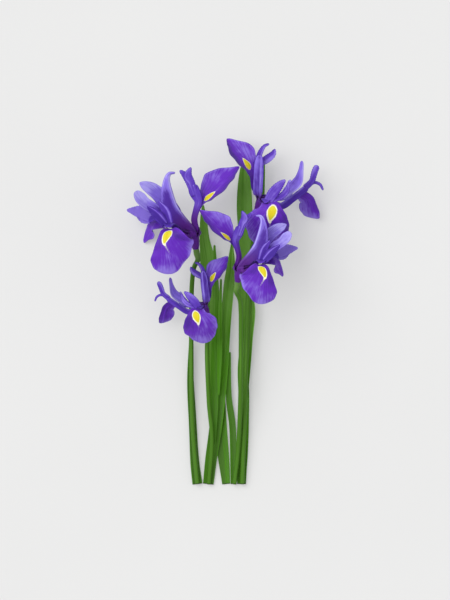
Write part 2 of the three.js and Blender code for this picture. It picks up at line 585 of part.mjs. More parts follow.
// One bloom: the falls with their tube, the standards with their sleeve, the style with its arms.
function addBloom({ name, kind, foot, scale, flat, mirror, turn }) {
  const origin = vector(foot);
  const angle = turn * Math.PI / 180;
  const place = (p) => {
    const x = p.x * Math.cos(angle) - p.y * Math.sin(angle);
    const y = p.x * Math.sin(angle) + p.y * Math.cos(angle);
    return new THREE.Vector3(x * mirror, y, p.z);
  };
  const squeeze = (p) => place(p).multiply(new THREE.Vector3(scale, scale, scale * flat));
  const axis = squeeze(vector(kind.axis)).normalize();
  const spokes = kind.spokes.map((spoke) => {
    const out = squeeze(vector(spoke));
    return out.addScaledVector(axis, -out.dot(axis)).normalize();
  });
  const placeRow = (row) => {
    const p = squeeze(vector(row)).add(origin);
    const f = place(vector(row, 6));
    const [left, right] = mirror > 0 ? [row[3], row[4]] : [row[4], row[3]];
    return [p.x, p.y, p.z, left * scale, right * scale, row[5], f.x, f.y, f.z];
  };
  const rootRow = (out, height, radius, width) => {
    const p = origin.clone();
    p.addScaledVector(axis, height * scale);
    p.addScaledVector(out, radius * scale);
    const f = out.clone().negate();
    return [p.x, p.y, p.z, width * scale, width * scale, 0.4, f.x, f.y, f.z];
  };
  const solids = (grow) => {
    const petal = (out, root, rows, across = 4) => toManifold(bladeSolid(
      [...root.map(([h, r, w]) => rootRow(out, h, r, w)), ...rows.map(placeRow)],
      PETAL_THICKNESS, across, undefined, ROOT_GATHER, grow));
    let falls = ringSolid(
      origin, axis, TUBE_RADIUS * scale, TUBE_BORE * scale, 0.3, TUBE_LENGTH * scale);
    kind.falls.forEach((rows, k) => {
      falls = falls.add(petal(spokes[k], FALL_ROOT, rows));
    });
    let standards = ringSolid(
      origin, axis, SLEEVE_RADIUS * scale, SLEEVE_BORE * scale, 0.6, TUBE_LENGTH * scale);
    kind.standards.forEach((rows, k) => {
      standards = standards.add(petal(spokes[k].clone().negate(), STANDARD_ROOT, rows));
    });
    let styles = rodSolid(origin, axis, STYLE_RADIUS * scale, 0.6, TUBE_LENGTH * scale);
    kind.styles.forEach(({ arm, lobes }, k) => {
      styles = styles.add(petal(spokes[k], ARM_ROOT, arm, 2));
      for (const lobe of lobes) {
        const rows = lobe.map(placeRow);
        const solid = bladeSolid(rows, PETAL_THICKNESS, 2, undefined, 1, grow);
        styles = styles.add(toManifold(solid));
      }
    });
    return { falls, standards, styles };
  };
  const exact = solids(0);
  const grown = solids(CLEARANCE);
  const standards = exact.standards.subtract(grown.styles);
  const falls = exact.falls.subtract(grown.standards).subtract(grown.styles);
  addMesh(`${name}_falls`, falls, COLOURS.fall, 0.6);
  addMesh(`${name}_standards`, standards, COLOURS.standard, 0.6);
  addMesh(`${name}_styles`, exact.styles, COLOURS.style, 0.6);

  const path = STEMS[name].map((p) => [...p, STEM_RADIUS * scale ** 0.5]);
  for (const [below, radius] of [[12, STEM_RADIUS * 1.1], [5, OVARY_RADIUS], [0.3, OVARY_RADIUS * 0.95]]) {
    const p = origin.clone().addScaledVector(axis, -below * scale);
    path.push([p.x, p.y, p.z, radius * scale]);
  }
  addMesh(`${name}_stem`, toManifold(stalkSolid(path, STEM_SIDES, 13)), COLOURS.stem, 0.55);
}

BLOOMS.forEach(addBloom);

for (const [name, rows] of Object.entries(LEAVES)) {
  addMesh(name, toManifold(bladeSolid(rows, LEAF_THICKNESS, 4, 12)), COLOURS.leaf, 0.5);
}

export default group;
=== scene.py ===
import math

import bpy
import numpy as np
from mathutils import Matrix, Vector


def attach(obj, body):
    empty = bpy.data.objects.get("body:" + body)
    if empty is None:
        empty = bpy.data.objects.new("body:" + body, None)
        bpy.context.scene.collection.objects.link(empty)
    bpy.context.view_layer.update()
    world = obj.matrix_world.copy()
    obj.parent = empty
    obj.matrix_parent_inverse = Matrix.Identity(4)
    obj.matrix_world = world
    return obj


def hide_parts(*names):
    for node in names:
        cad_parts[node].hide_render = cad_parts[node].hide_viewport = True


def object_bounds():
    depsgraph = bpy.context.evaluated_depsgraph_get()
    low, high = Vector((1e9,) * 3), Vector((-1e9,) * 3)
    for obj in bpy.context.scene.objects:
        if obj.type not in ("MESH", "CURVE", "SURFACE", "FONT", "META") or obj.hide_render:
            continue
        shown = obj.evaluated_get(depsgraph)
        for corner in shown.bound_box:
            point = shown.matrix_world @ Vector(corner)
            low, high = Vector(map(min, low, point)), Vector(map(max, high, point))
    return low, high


bl_info = {
    "name": "Bunch of cut irises",
    "version": (1, 0, 0),
    "blender": (4, 5, 0),
    "location": "View3D > Sidebar > Irises",
    "description": "Grows the petals, stems and leaves of four cut irises round their packed solids",
    "category": "Object",
}

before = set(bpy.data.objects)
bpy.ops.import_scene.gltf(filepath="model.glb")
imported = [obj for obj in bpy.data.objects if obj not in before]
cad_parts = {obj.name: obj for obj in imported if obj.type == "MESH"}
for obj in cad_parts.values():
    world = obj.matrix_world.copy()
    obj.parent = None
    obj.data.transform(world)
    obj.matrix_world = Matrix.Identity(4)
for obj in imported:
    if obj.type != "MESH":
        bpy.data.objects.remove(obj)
CAD_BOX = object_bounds()

# Rows and feet are written in millimetres, as the solids' are, and turned into metres where they are placed.
MM = 0.001


def srgb(red, green, blue):
    """A colour given in the usual 0 to 255, as the linear light that materials hold."""
    share = np.array([red, green, blue]) / 255
    linear = np.where(share > 0.04045, ((share + 0.055) / 1.055) ** 2.4, share / 12.92)
    return tuple(float(value) for value in linear)


# ---------------------------------------------------------------------------------------------
# The flowers' plan. Each row of a petal: x, y, z, width to the left, width to the right, cup, facing x, y,
# z. Seen along the petal from its root with the facing side up, left is the left hand. The cup is the angle
# in radians through which each half turns towards the facing side. A row that gives no facing keeps that of
# the row before it. Petal rows are measured from the bloom's foot.
# ---------------------------------------------------------------------------------------------

# Where a petal leaves the tube: height up the tube, distance from its axis, half width.
FALL_ROOT = ((6, 3.8, 2.6), (12, 4.4, 4.2), (15.5, 7.2, 5.6))
STANDARD_ROOT = ((7, 2.35, 1.1), (12.5, 2.5, 1.1), (16.5, 3.2, 1.8))
ARM_ROOT = ((8, 0.4, 0.9), (13, 1.2, 0.9), (17, 4.5, 1.5))

STEM_RADIUS = 2.3
OVARY_RADIUS = 3.1
TUBE_RADIUS = 4.7
TUBE_LENGTH = 13
STYLE_RADIUS = 1.5

# A leaf whose first row has a lower y than this starts at the cut through the bunch.
CUT_LEVEL = -170

# First kind of bloom: seen from its side, one fall towards the viewer.
SIDE_BLOOM = {
    "axis": (-0.14, 0.93, 0.30),
    "spokes": ((-0.24, -0.40, 0.88), (0.80, 0.59, -0.08), (-0.58, -0.16, -0.80)),
    "falls": ((
        (-8, 11, 14.5, 4.8, 4.8, 0.5, -0.3, 0.8, -0.3),
        (-15, 12.5, 21, 5, 5, 0.4),
        (-24, 19, 38, 4.5, 4.5, 0.4, -0.3, 0.9, 0.2),
        (-28.5, 17, 47, 19, 6, 0.1, -0.2, 0.6, 0.75),
        (-30, 9, 50.5, 27, 8.5, -0.3, -0.1, 0.2, 0.98),
        (-29, 0, 50, 28, 13.5, -0.4, 0, 0, 1),
        (-27, -11, 47, 22, 18.5, -0.4, 0, -0.15, 0.98),
        (-25.8, -20, 42, 12, 15.5, -0.4, 0, -0.3, 0.95),
        (-25.2, -25.5, 37, 5.5, 9.5, -0.2, 0, -0.4, 0.9),
    ), (
        (0.8, 20, 1, 3.8, 3.8, 0.4, -0.6, 0.2, 0.75),
        (-1, 29, 2, 4, 4, 0.5, -0.5, 0.3, 0.8),
        (0.8, 37, 3, 4.2, 4.2, 0.5, -0.5, 0.4, 0.75),
        (5.5, 46, 5, 5.5, 8, 0.8, -0.5, 0.5, 0.7),
        (14, 54, 7, 15, 16, 0.9),
        (22, 61, 8, 20.5, 20, 0.9),
        (32, 71, 5, 15, 15.5, 0.9),
        (39, 78, 2, 6, 6, 0.7),
        (43, 82, 0, 1.5, 1.5, 0.3),
    ), (
        (-24, 18, -13, 3.4, 3.4, 0.4, 0.1, 0.9, -0.3),
        (-37, 23, -21, 6, 6, 0.3, -0.3, 0.7, 0.6),
        (-43, 23, -25, 8, 8, 0.1, -0.6, 0.5, 0.4),
        (-46, 17, -30, 8.5, 9, -0.2, -0.7, 0.1, 0.6),
        (-49, 12, -36, 4, 6, -0.2, -0.7, 0, 0.6),
        (-52.5, 6.5, -42, 1.5, 1.5, -0.1),
    )),
    "standards": ((
        (-5, 21, -2, 1.6, 1.6, 0.4, -0.2, -0.3, 0.93),
        (-16, 30, -4, 6, 6, 0.5),
        (-29, 45, -3, 8.5, 11, 0.5),
        (-38, 53.5, -1, 6.3, 10.5, 0.4),
        (-45, 59.5, 2, 6, 8, 0.2),
        (-51, 63, 4, 4.5, 5.5, 0.1),
        (-56, 65.8, 5, 1, 1, 0),
    ), (
        (-12, 20, 5, 1.8, 1.8, 0.4, 0.4, 0.5, 0.75),
        (-25, 28, 4, 4.5, 4.5, 0.5),
        (-40, 38.5, 8, 8, 6.5, 0.5),
        (-50, 45.5, 8, 9.5, 6.5, 0.3),
        (-56, 52.5, 6, 7, 6.5, 0.1),
        (-58.5, 58, 4, 3.5, 3.5, 0),
    ), (
        (-4.5, 21.5, 11, 2.5, 4.5, 0.3, -0.2, -0.2, -0.9),
        (-13, 31, 14.5, 3, 13.5, 0.4),
        (-20.5, 42, 16, 3, 14, 0.5),
        (-26, 58, 18, 3, 9, 0.5),
        (-28, 69, 16, 2.5, 4, 0.4),
        (-26, 74.5, 13, 2, 2, 0.2, 0.2, 0.3, -0.9),
        (-20.5, 75.5, 11, 1, 1, 0),
    )),
    "arms": ((
        (-8, 15.3, 15, 2.2, 2.2, -0.3, -0.3, 0.8, -0.3),
        (-15, 18, 21.5, 3.4, 3.4, -0.5),
        (-24, 25, 34, 5, 5, -0.6, -0.3, 0.9, 0.2),
        (-32, 23.5, 47, 8.5, 7, -0.6, -0.2, 0.7, 0.6),
    ), (
        (0, 20.5, 6, 3.2, 3.2, -0.3, -0.5, 0.2, 0.8),
        (-1.8, 29, 7.5, 3.6, 3.6, -0.3, -0.4, 0.2, 0.85),
        (0, 38, 9, 3.8, 3.8, -0.3, -0.4, 0.3, 0.85),
        (2, 47, 11, 4.4, 4.4, -0.4, -0.3, 0.2, 0.9),
        (-0.5, 56, 12, 6.5, 5.2, -0.2, -0.2, 0, 0.95),
        (-2.8, 64, 12.8, 5.2, 3.8, -0.1, 0, 0, 1),
    ), (
        (-24, 23.5, -10, 2.6, 2.6, -0.4, 0.1, 0.9, -0.3),
        (-37, 31, -17, 4.5, 4.5, -0.4, -0.3, 0.9, 0.2),
        (-47, 32, -22, 8, 8, -0.3, -0.4, 0.4, 0.6),
    )),
    "lobes": (((
        (-30, 24, 44, 4, 4, 0, -0.2, 0.5, 0.8),
        (-38, 33, 49, 5, 5, 0, -0.2, 0.2, 0.9),
        (-48, 42, 50, 1.2, 1.2, 0),
    ), (
        (-26, 25, 42, 4, 4, 0, -0.2, 0.5, 0.8),
        (-30, 37, 46, 4.5, 4.5, 0, -0.2, 0.2, 0.9),
        (-37, 47, 46, 1.2, 1.2, 0),
    )), ((
        (0, 53, 12, 3, 3, 0, 0, 0, 1),
        (-4, 66, 13.5, 4, 3, 0),
        (-6.8, 73, 14, 5, 3, 0),
        (-5, 81, 14, 1, 1, 0),
    ), (
        (-2, 53, 12, 3, 3, 0, 0, 0, 1),
        (-7, 64, 12.5, 2.4, 2.4, 0),
        (-11, 73, 12, 3, 3, 0),
        (-16, 78, 11, 1.2, 1.2, 0),
    )), ((
        (-45, 31, -21, 5, 6, 0, -0.2, 0.2, 0.9),
        (-56, 35, -20, 4.5, 8.5, 0),
        (-69, 39, -17, 1.2, 1.2, 0),
    ), (
        (-45, 30, -21, 5, 5, 0, -0.2, 0.2, 0.9),
        (-52.5, 30, -21, 4.2, 4.5, 0),
        (-60, 35, -20, 1.2, 1.2, 0),
    ))),
}

# Second kind of bloom: leaning towards the viewer, one fall in front and one out to each side.
FRONT_BLOOM = {
    "axis": (0.3, 0.78, 0.55),
    "spokes": ((-0.085, -0.598, 0.800), (-0.710, 0.678, -0.189), (0.800, -0.078, -0.606)),
    "falls": ((
        (6, 8.5, 23, 4.2, 4.2, 0.5, -0.1, 0.9, 0.2),
        (9, 8, 38, 5, 5, 0.4, -0.1, 0.8, 0.4),
        (11.5, 5, 48, 10.5, 12, 0, -0.1, 0.5, 0.8),
        (11.4, -2, 51, 17.6, 17.4, -0.4, 0, 0.2, 0.98),
        (10.2, -11, 47, 21.8, 21.7, -0.4, 0, -0.2, 0.98),
        (8.7, -21, 36, 23, 20.7, -0.4, 0, -0.5, 0.85),
        (7.4, -29.5, 24, 16.6, 15.4, -0.4, 0, -0.6, 0.8),
        (6.9, -36, 13, 6, 7, -0.2, 0, -0.7, 0.7),
    ), (
        (-2, 24, 6.5, 4.6, 4.6, 0.5, 0.3, 0, 0.9),
        (-4, 36, 8, 6.5, 5, 0.6, 0.5, 0.3, 0.8),
        (-9, 46, 10, 13, 10.5, 0.8, 0.45, 0.45, 0.77),
        (-14.5, 54, 10, 17, 15.5, 0.7),
        (-20.5, 61.5, 8, 14.5, 13.5, 0.7),
        (-26.5, 69, 4, 6.5, 5, 0.6),
        (-30, 72.5, 2, 1.5, 1.5, 0.3, 0.5, 0.5, 0.7),
    ), (
        (14, 7, 1, 3, 3, 0.3, -0.3, 0.9, 0.2),
        (23, 5.5, -1, 3.4, 3.4, 0.4),
        (35, 11.5, -3, 4, 4, 0.4),
        (42, 16, -5, 6.5, 6.5, 0.1, 0.4, 0.5, -0.6),
        (50, 13, -8, 10.3, 8, -0.2, 0.5, 0.4, -0.7),
        (53.7, 7, -12, 13.2, 7.5, -0.3, 0.5, 0.2, -0.8),
        (55.7, 0, -17, 13.2, 8.5, -0.3, 0.5, 0, -0.85),
        (57, -7, -21.5, 10.5, 8.5, -0.2, 0.6, -0.2, -0.8),
    )),
    "standards": ((
        (10, 15, 3, 1.8, 1.8, 0.3, -0.3, -0.5, 0.8),
        (18, 14, -1, 3.6, 3.6, 0.5),
        (27, 16, 0, 5, 5, 0.5),
        (32, 22, 7, 5, 5, 0.3, -0.3, -0.3, 0.9),
        (33, 31.5, 9, 1.5, 1.5, 0),
    ), (
        (12, 11.5, 15, 2.2, 2.2, 0.3, -0.4, 0.6, 0.7),
        (21, 12.5, 19, 4, 4, 0.5),
        (32, 19, 22, 7, 6.5, 0.5, -0.5, 0.5, 0.7),
        (42, 28.5, 25, 8, 5.5, 0.5, -0.6, 0.3, 0.7),
        (43.8, 40, 28, 3.8, 3.8, 0.3, -0.7, 0, 0.7),
        (44.5, 50, 29, 2.2, 2.2, 0),
    ), (
        (1, 17.5, 15, 4.4, 5, 0.3, 0.1, -0.2, -0.9),
        (1, 24, 18.5, 4.8, 5.6, 0.4),
        (1.4, 32, 20, 4.8, 5.6, 0.5),
        (1.8, 45, 22.5, 4.8, 5.2, 0.4),
        (2.6, 56, 22, 3, 3.4, 0.2),
    )),
    "arms": ((
        (6.5, 12, 23, 2.6, 2.6, -0.4, -0.1, 0.9, 0.2),
        (9, 12, 34, 4.6, 4.6, -0.6, -0.1, 0.9, 0.3),
        (13, 10.5, 44.5, 6.5, 6.5, -0.5, -0.1, 0.7, 0.6),
    ), (
        (1.2, 24, 10.5, 2.4, 2.4, -0.3, 0.2, 0, 0.9),
        (2, 38, 12, 3.4, 3.4, -0.4),
        (0.5, 51, 15, 5.5, 5.5, -0.4),
    ), (
        (14.5, 10, 8, 2.8, 2.8, -0.3, -0.25, 0.5, 0.83),
        (24, 5.5, 6, 4.2, 4.2, -0.4, -0.25, 0.45, 0.86),
        (36, 13.5, 4, 4.2, 4.2, -0.4),
        (50, 24.5, 2, 4, 4, -0.4),
    )),
    "lobes": (((
        (11, 10, 43.5, 4.5, 4.5, 0, 0, 0.3, 0.9),
        (15.2, 17.4, 46, 5, 5.5, 0, 0, 0, 1),
        (21.6, 25.2, 46, 3.9, 4.5, 0),
        (28, 31, 44, 1.2, 1.2, 0),
    ), (
        (15.5, 11, 44, 3, 3, 0, 0, 0.3, 0.9),
        (24, 14.5, 43, 3, 3, 0, 0, 0, 1),
        (29.5, 20.5, 42, 2.6, 2.6, 0),
        (31.5, 29, 40, 1, 1, 0),
    )), ((
        (0, 49, 14.5, 3, 3, 0, 0, 0, 1),
        (3, 58, 17, 2.6, 2.6, 0),
        (7, 64.5, 17, 1.8, 1.8, 0),
        (12, 67, 15, 1, 1, 0),
    ), (
        (2, 47, 14, 3, 3, 0, 0, 0, 1),
        (9, 52, 14, 3.4, 4.4, 0),
        (15, 57, 13, 2.6, 3.8, 0),
        (18, 62, 12, 1, 1, 0),
    )), ((
        (48, 23.5, 2, 3.4, 3.4, 0, -0.2, 0.2, 0.9),
        (54.5, 30, 3, 3, 3, 0, -0.2, 0, 0.9),
        (57, 38, 4, 3.2, 3.2, 0),
        (60, 46, 4, 3, 3, 0),
    ), (
        (48, 24, 1.5, 2.4, 2.4, 0, 0, 0.2, 0.9),
        (56, 28.5, 0, 1.7, 1.7, 0),
        (62.5, 27, -1, 1.5, 1.5, 0),
        (66, 21, -2, 1, 1, 0),
    ))),
}

# Yellow signals of the falls: middle of the patch from the bloom's foot, its half width and half length, how
# far its far end leans to the right, how wide its white border is and how strong the line that leaves it is.
SIDE_SIGNALS = (
    ((-29, 11.5, 47), 3.5, 7.3, 2.4, 0.36, 0.6),
    ((14, 51.5, 5), 3.1, 6.6, 0, 0.22, 0.1),
    ((-29, 20, -17), 1.1, 2.2, 0, 0.2, 0),
)
FRONT_SIGNALS = (
    ((14.3, -2.8, 51), 4.0, 7.4, 0.9, 0.5, 0.3),
    ((-10, 47, 11), 3.2, 6.4, 0, 0.18, 0),
    ((44, 17, -5), 3, 5, 0, 0.2, 0),
)

# Patches of lighter (plus) and darker (minus) colour on a petal, most of them painted highlight where a half
# faces the light and painted shade where it folds away, the rest its own tone: its row, its place across
# from -1 at the left rim to 1 at the right one, its reach in rows, its reach across, and how strong it is.
SIDE_TONES = {
    "falls": (
        (
            (4.2, 0.8, 1.3, 0.5, -0.8), (3.4, -0.45, 0.8, 0.4, -0.7),
            (8.3, 0.2, 1.6, 0.9, 1.3), (5.5, -1, 1.6, 0.16, 0.8),
        ),
        # The second fall: painted shade on its right half, which curls up, and painted highlight along its
        # left rim.
        ((5.5, 0.9, 3, 0.5, -0.9), (5.5, -0.8, 2.5, 0.4, 0.5), (1, 0, 1.8, 2, -0.6)),
        ((4, 0, 2, 3, 0.1),),
    ),
    "standards": (
        ((1, 0, 1.4, 2, -1.2), (4.8, 0.2, 1.4, 1.5, 1.0), (3, -0.8, 1, 0.4, -0.4)),
        ((4.5, 0, 1.8, 2, 1.0), (1, 0, 1.5, 2, -0.8)),
        (
            (2.4, -0.35, 2.8, 0.35, 1.6), (1.4, 0.5, 1.6, 0.5, -1.5),
            (5, 0.6, 1.5, 0.6, 0.5), (2.5, -1, 2, 0.2, -1),
        ),
    ),
    "arms": (
        ((2, 0, 3, 2, -0.5),),
        ((1, 0, 3, 0.35, 0.35), (3, 1, 3, 0.4, -0.5), (5, -0.4, 1.2, 0.8, 0.5), (0.5, 0, 1.5, 2, -0.6)),
        ((2, 0, 2, 2, -0.6),),
    ),
    "lobes": (
        (((1.5, 0, 3, 3, -1.1), (1, 0.45, 3, 0.2, 2.0)), ((1.5, 0, 3, 3, -0.6), (1, 0.5, 3, 0.2, 1.5))),
        (((2, -0.6, 2, 0.8, 0.5), (2, 0.8, 2, 0.4, -0.7)), ((2, 0, 1.4, 2, 0.1),)),
        (((1.5, 0, 2, 3, 1.3),), ((1.5, 0, 2, 3, 1.1),)),
    ),
}
FRONT_TONES = {
    "falls": (
        (
            (3.5, -0.9, 1.3, 0.45, -0.9), (6.5, 0, 1.2, 1.2, 0.7),
            (4.4, 0.85, 1.8, 0.25, 0.5), (4, 0.3, 1, 0.12, 0.35),
        ),
        # The second fall: painted shade along its left rim.
        ((4, -1, 3.5, 0.45, -1.6), (4, 0.5, 2.5, 0.7, 0.6)),
        ((6.8, 0, 0.8, 1.5, 0.8), (4.5, -0.7, 2, 0.4, 0.5), (5, 0, 3, 2, 0.1), (5, 1, 3, 0.3, -0.6)),
    ),
    "standards": (
        ((3, 0, 2, 2, 0.4),),
        ((3, 0.7, 2, 0.6, 0.6), (3.5, -0.8, 2, 0.4, -0.5)),
        ((2, 0, 4, 3, -0.8), (2, -0.4, 3, 0.18, 1.3), (3.5, 0.5, 1, 0.3, 0.5)),
    ),
    "arms": (
        ((2, 0, 3, 2, -0.4),),
        ((1, 0, 3, 0.3, 0.5), (1.5, 1, 3, 0.5, -0.9), (1.5, -1, 3, 0.5, -0.9)),
        ((1.5, -0.8, 2, 0.6, 0.8), (2, 0.8, 3, 0.5, -0.5)),
    ),
    "lobes": (
        (((2, 0, 1.4, 2, 0.4), (2, 0.9, 2, 0.3, -0.8)), ((2, 0, 1.4, 2, 0.3),)),
        (
            ((2, 0.5, 2, 0.6, 0.4), (1, -0.8, 2, 0.4, -0.5)),
            ((2, 0.7, 2, 0.5, 0.9), (1.5, -0.7, 2, 0.4, -1.0)),
        ),
        (((3, -0.3, 1.4, 0.8, 0.9), (1, 0.5, 1.5, 1, -0.3)), ((2, 0, 2, 2, 0),)),
    ),
}
# The foot rate says how fast the dark purple of the petals' feet fades along them.
SIDE_BLOOM.update(signals=SIDE_SIGNALS, tones=SIDE_TONES, foot_rate=0.6)
FRONT_BLOOM.update(signals=FRONT_SIGNALS, tones=FRONT_TONES, foot_rate=1.5)

# Stems from the cut end upwards: x, y, z. The bloom adds the last stretch under its foot.
STEMS = {
    "iris_a": (
        (-27.7, -173.5, 4.4), (-32, -119.5, 5.4), (-33.5, -69.5, 8), (-33.5, 10.5, 15), (-31.5, 40, 25),
    ),
    "iris_b": ((9.4, -173.5, 4.2), (13, -139.5, 9), (15.2, -89.5, 20), (15.8, -20, 38), (15.2, 8, 48)),
    "iris_c": ((17.2, -173.5, 4), (20, -89.5, 11), (23, 10.5, 15.2), (28, 70, 15.4)),
    "iris_d": ((-16.3, -173.5, 4), (-13, -129.5, 11), (-16.3, -89.5, 16), (-18, -34.5, 25)),
}

# Leaves from the cut end, or from the stem that they clasp, to the tip: x, y, z, half width. All face up and
# are cupped by LEAF_CUP, but for the broad first one.
LEAF_CUP = 0.5
BROAD_LEAF_CUP = 0.4
LEAVES = {
    "leaf_1": (
        (1.2, -173.5, 0.55, 4.2),
        (-1.2, -149.5, 0.7, 5.6),
        (-4.4, -119.5, 0.9, 6.8),
        (-8, -79.5, 1.6, 7.4),
        (-13, -34.5, 3, 6.6),
        (-15.5, 10.5, 4, 7.2),
        (-17.3, 48.5, 5, 7.6),
        (-20.5, 72, 6, 5.2),
        (-21.5, 92, 8, 3.4),
        (-22, 105.5, 10, 1),
    ),
    "leaf_2": (
        (-16.8, -173.5, 0.55, 5.6),
        (-14, -149.5, 2, 6),
        (-9.8, -119.5, 3.8, 6.6),
        (-4.3, -69.5, 6.2, 6.8),
        (-0.8, -29.5, 8, 5.8),
        (3.5, 20.5, 10, 5.5),
        (6, 40.5, 12, 5),
        (7, 67.5, 14, 1),
    ),
    "leaf_3": (
        (-12.3, -132, 7.4, 3),
        (-11, -105, 8.8, 3.8),
        (-10.5, -89.5, 9.5, 4),
        (-11, -34.5, 12.5, 4.5),
        (-10, 5.5, 14.5, 5),
        (-10, 25.5, 15, 4),
        (-10.5, 65.5, 15, 1),
    ),
    "leaf_4": (
        (-6.3, -84, 12.6, 0.9),
        (-5.5, -45, 15, 2.6),
        (-5, -9.5, 17.2, 2.2),
        (-4, 31.5, 18, 0.9),
    ),
    "leaf_5": (
        (16.6, -173.5, 0.55, 4.5),
        (16.8, -159.5, 0.7, 5.2),
        (17.8, -139.5, 0.9, 5.4),
        (18.8, -89.5, 2, 5.8),
        (18, -59.5, 2.6, 5.5),
        (21, -29.5, 3.4, 6.5),
        (20, 10.5, 4.4, 7),
        (20.5, 70.5, 6, 7.5),
        (19.4, 105.5, 7, 8.1),
        (19.7, 138.5, 9, 5.4),
        (20, 150.5, 10, 1),
    ),
    "leaf_6": (
        (20.2, -84, 7.7, 3),
        (21.5, -59.5, 8.6, 4),
        (23.3, -29.5, 9.6, 4.6),
        (25.5, 0.5, 10.4, 5),
        (25, 20.5, 10.8, 1),
    ),
    "leaf_7": (
        (24.3, 27, 12, 2.2),
        (27, 42, 11.5, 2.6),
        (31, 65, 9.6, 2.8),
        (36, 100, 6.5, 2.8),
        (38, 130.5, 6, 2),
        (39, 152.5, 7, 0.9),
    ),
    "leaf_8": (
        (8.4, -173.5, 0.55, 2.9),
        (7.7, -119.5, 1.7, 3.5),
        (3.8, -84.5, 4, 3),
        (5, -41.5, 7, 0.9),
    ),
    "leaf_9": (
        (-27.6, -173.5, 0.55, 5.2),
        (-30.3, -149.5, 0.8, 4.6),
        (-32.5, -109.5, 1.6, 4),
        (-34.5, -69.5, 3, 3.5),
        (-35, -29.5, 6, 0.9),
    ),
}

# Patches of lighter and darker green on a leaf, in the same way as on a petal: partly the leaf's own tone,
# partly painted light on the parts that the blooms above shade.
LEAF_TONES = {
    "leaf_1": ((6, 0.3, 3, 1.5, 0.5), (1, -0.6, 3, 0.5, -0.4)),
    "leaf_2": ((5, 0.2, 2.5, 1.5, 0.4), (1, 0.5, 2, 0.5, -0.3)),
    "leaf_3": ((3, -0.9, 3, 0.4, 0.6),),
    "leaf_4": ((1.5, 0, 3, 2, 0.1),),
    "leaf_5": (
        # Painted light where the blooms shade the fifth leaf.
        (8.5, -0.7, 3, 0.5, 0.2), (8.5, 0.4, 3, 0.5, 0.6), (6.8, 0, 0.7, 2, 0.6),
        (3, 0.6, 2, 0.5, 0.4), (1, 0.2, 2, 0.6, 0.4),
    ),
    "leaf_6": ((2, 0, 2, 2, 0.5),),
    "leaf_7": ((3, 0, 4, 2, 0.1),),
    "leaf_8": ((1.5, 0.4, 2, 1, -0.3),),
    "leaf_9": ((1, -0.4, 2, 0.6, -0.4),),
}


# ---------------------------------------------------------------------------------------------
# Sizes and colours that a user may change.
# ---------------------------------------------------------------------------------------------
def colour_property(name, description, red, green, blue):
    default = srgb(red, green, blue)
    return bpy.props.FloatVectorProperty(
        name=name, description=description, subtype="COLOR", size=3, min=0, max=1, default=default
    )


def length_property(name, description, millimetres):
    return bpy.props.FloatProperty(
        name=name, description=description, unit="LENGTH", precision=5, min=0, default=millimetres * MM
    )


def angle_property(name, description, degrees):
    return bpy.props.FloatProperty(
        name=name, description=description, subtype="ANGLE", default=math.radians(degrees)
    )


class IrisPetalSettings(bpy.types.PropertyGroup):
    """Sizes and colours of the petals."""

    grain: length_property("Grain", "Distance between neighbouring points of a petal's skin", 0.8)
    thickness: length_property("Thickness", "Thickness of a petal beside its middle line", 0.5)
    midrib: length_property("Midrib", "How far the midrib stands out under a petal", 0.5)
    ruffle: length_property("Ruffle", "How far the waves of a fall's rim swing", 0.6)
    ruffle_length: length_property("Ruffle length", "Distance between two waves of the rim", 13)
    vein_relief: length_property("Vein relief", "Height of the veins on the skin", 0.12)
    # Each part's dark and light colours are the ends of the ramp that its finish paints with: they carry
    # painted shade and painted highlight as well as the part's own tone and veins.
    fall_dark: colour_property("Fall, dark", "Deep violet of the falls' shaded halves", 64, 24, 134)
    fall: colour_property("Fall", "Violet of the falls", 90, 30, 172)
    fall_light: colour_property("Fall, light", "Lavender of the falls' rims", 130, 106, 206)
    standard_dark: colour_property("Standard, dark", "Violet at the foot of the standards", 70, 34, 146)
    standard: colour_property("Standard", "Lavender violet of the standards", 120, 98, 202)
    standard_light: colour_property("Standard, light", "Pale lavender of the standards' tips", 162, 152, 224)
    style_dark: colour_property("Style arm, dark", "Violet of the style arms' keels", 58, 26, 138)
    style: colour_property("Style arm", "Violet of the style arms", 82, 46, 168)
    style_light: colour_property("Style arm, light", "Pale lavender of the crests", 128, 106, 204)
    tube: colour_property("Tube", "Dark purple of the tube and the feet of the petals", 78, 10, 118)
    signal: colour_property("Signal", "Yellow of the signals", 206, 198, 40)
    signal_heart: colour_property("Signal heart", "Deeper yellow in the middle of the signals", 212, 190, 28)
    signal_border: colour_property("Signal border", "Cream white round the signals", 236, 230, 208)
    pollen: colour_property("Pollen", "Cream under the dark purple of the anthers", 206, 196, 168)


class IrisGreenSettings(bpy.types.PropertyGroup):
    """Sizes and colours of the stems and leaves."""

    grain: length_property("Grain", "Distance between neighbouring points of the green skins", 1.4)
    thickness: length_property("Thickness", "Thickness of a leaf beside its keel", 0.7)
    keel: length_property("Keel", "How far the keel stands out under a leaf", 0.35)
    rib_relief: length_property("Rib relief", "Height of the ribs on leaves and stems", 0.12)
    # The leaves' dark and light greens carry their stripes and also the painted light on their shaded upper
    # parts.
    leaf_dark: colour_property("Leaf, dark", "Deep green of the leaves", 66, 106, 34)
    leaf: colour_property("Leaf", "Green of the leaves", 66, 124, 8)
    leaf_light: colour_property("Leaf, light", "Pale green of the leaves' stripes", 100, 150, 56)
    stem: colour_property("Stem", "Green of the stems", 64, 108, 24)
    ovary: colour_property("Ovary", "Pale green of the ovaries", 92, 128, 58)
    cut: colour_property("Cut", "Pale green of the cut ends' pith", 168, 186, 120)


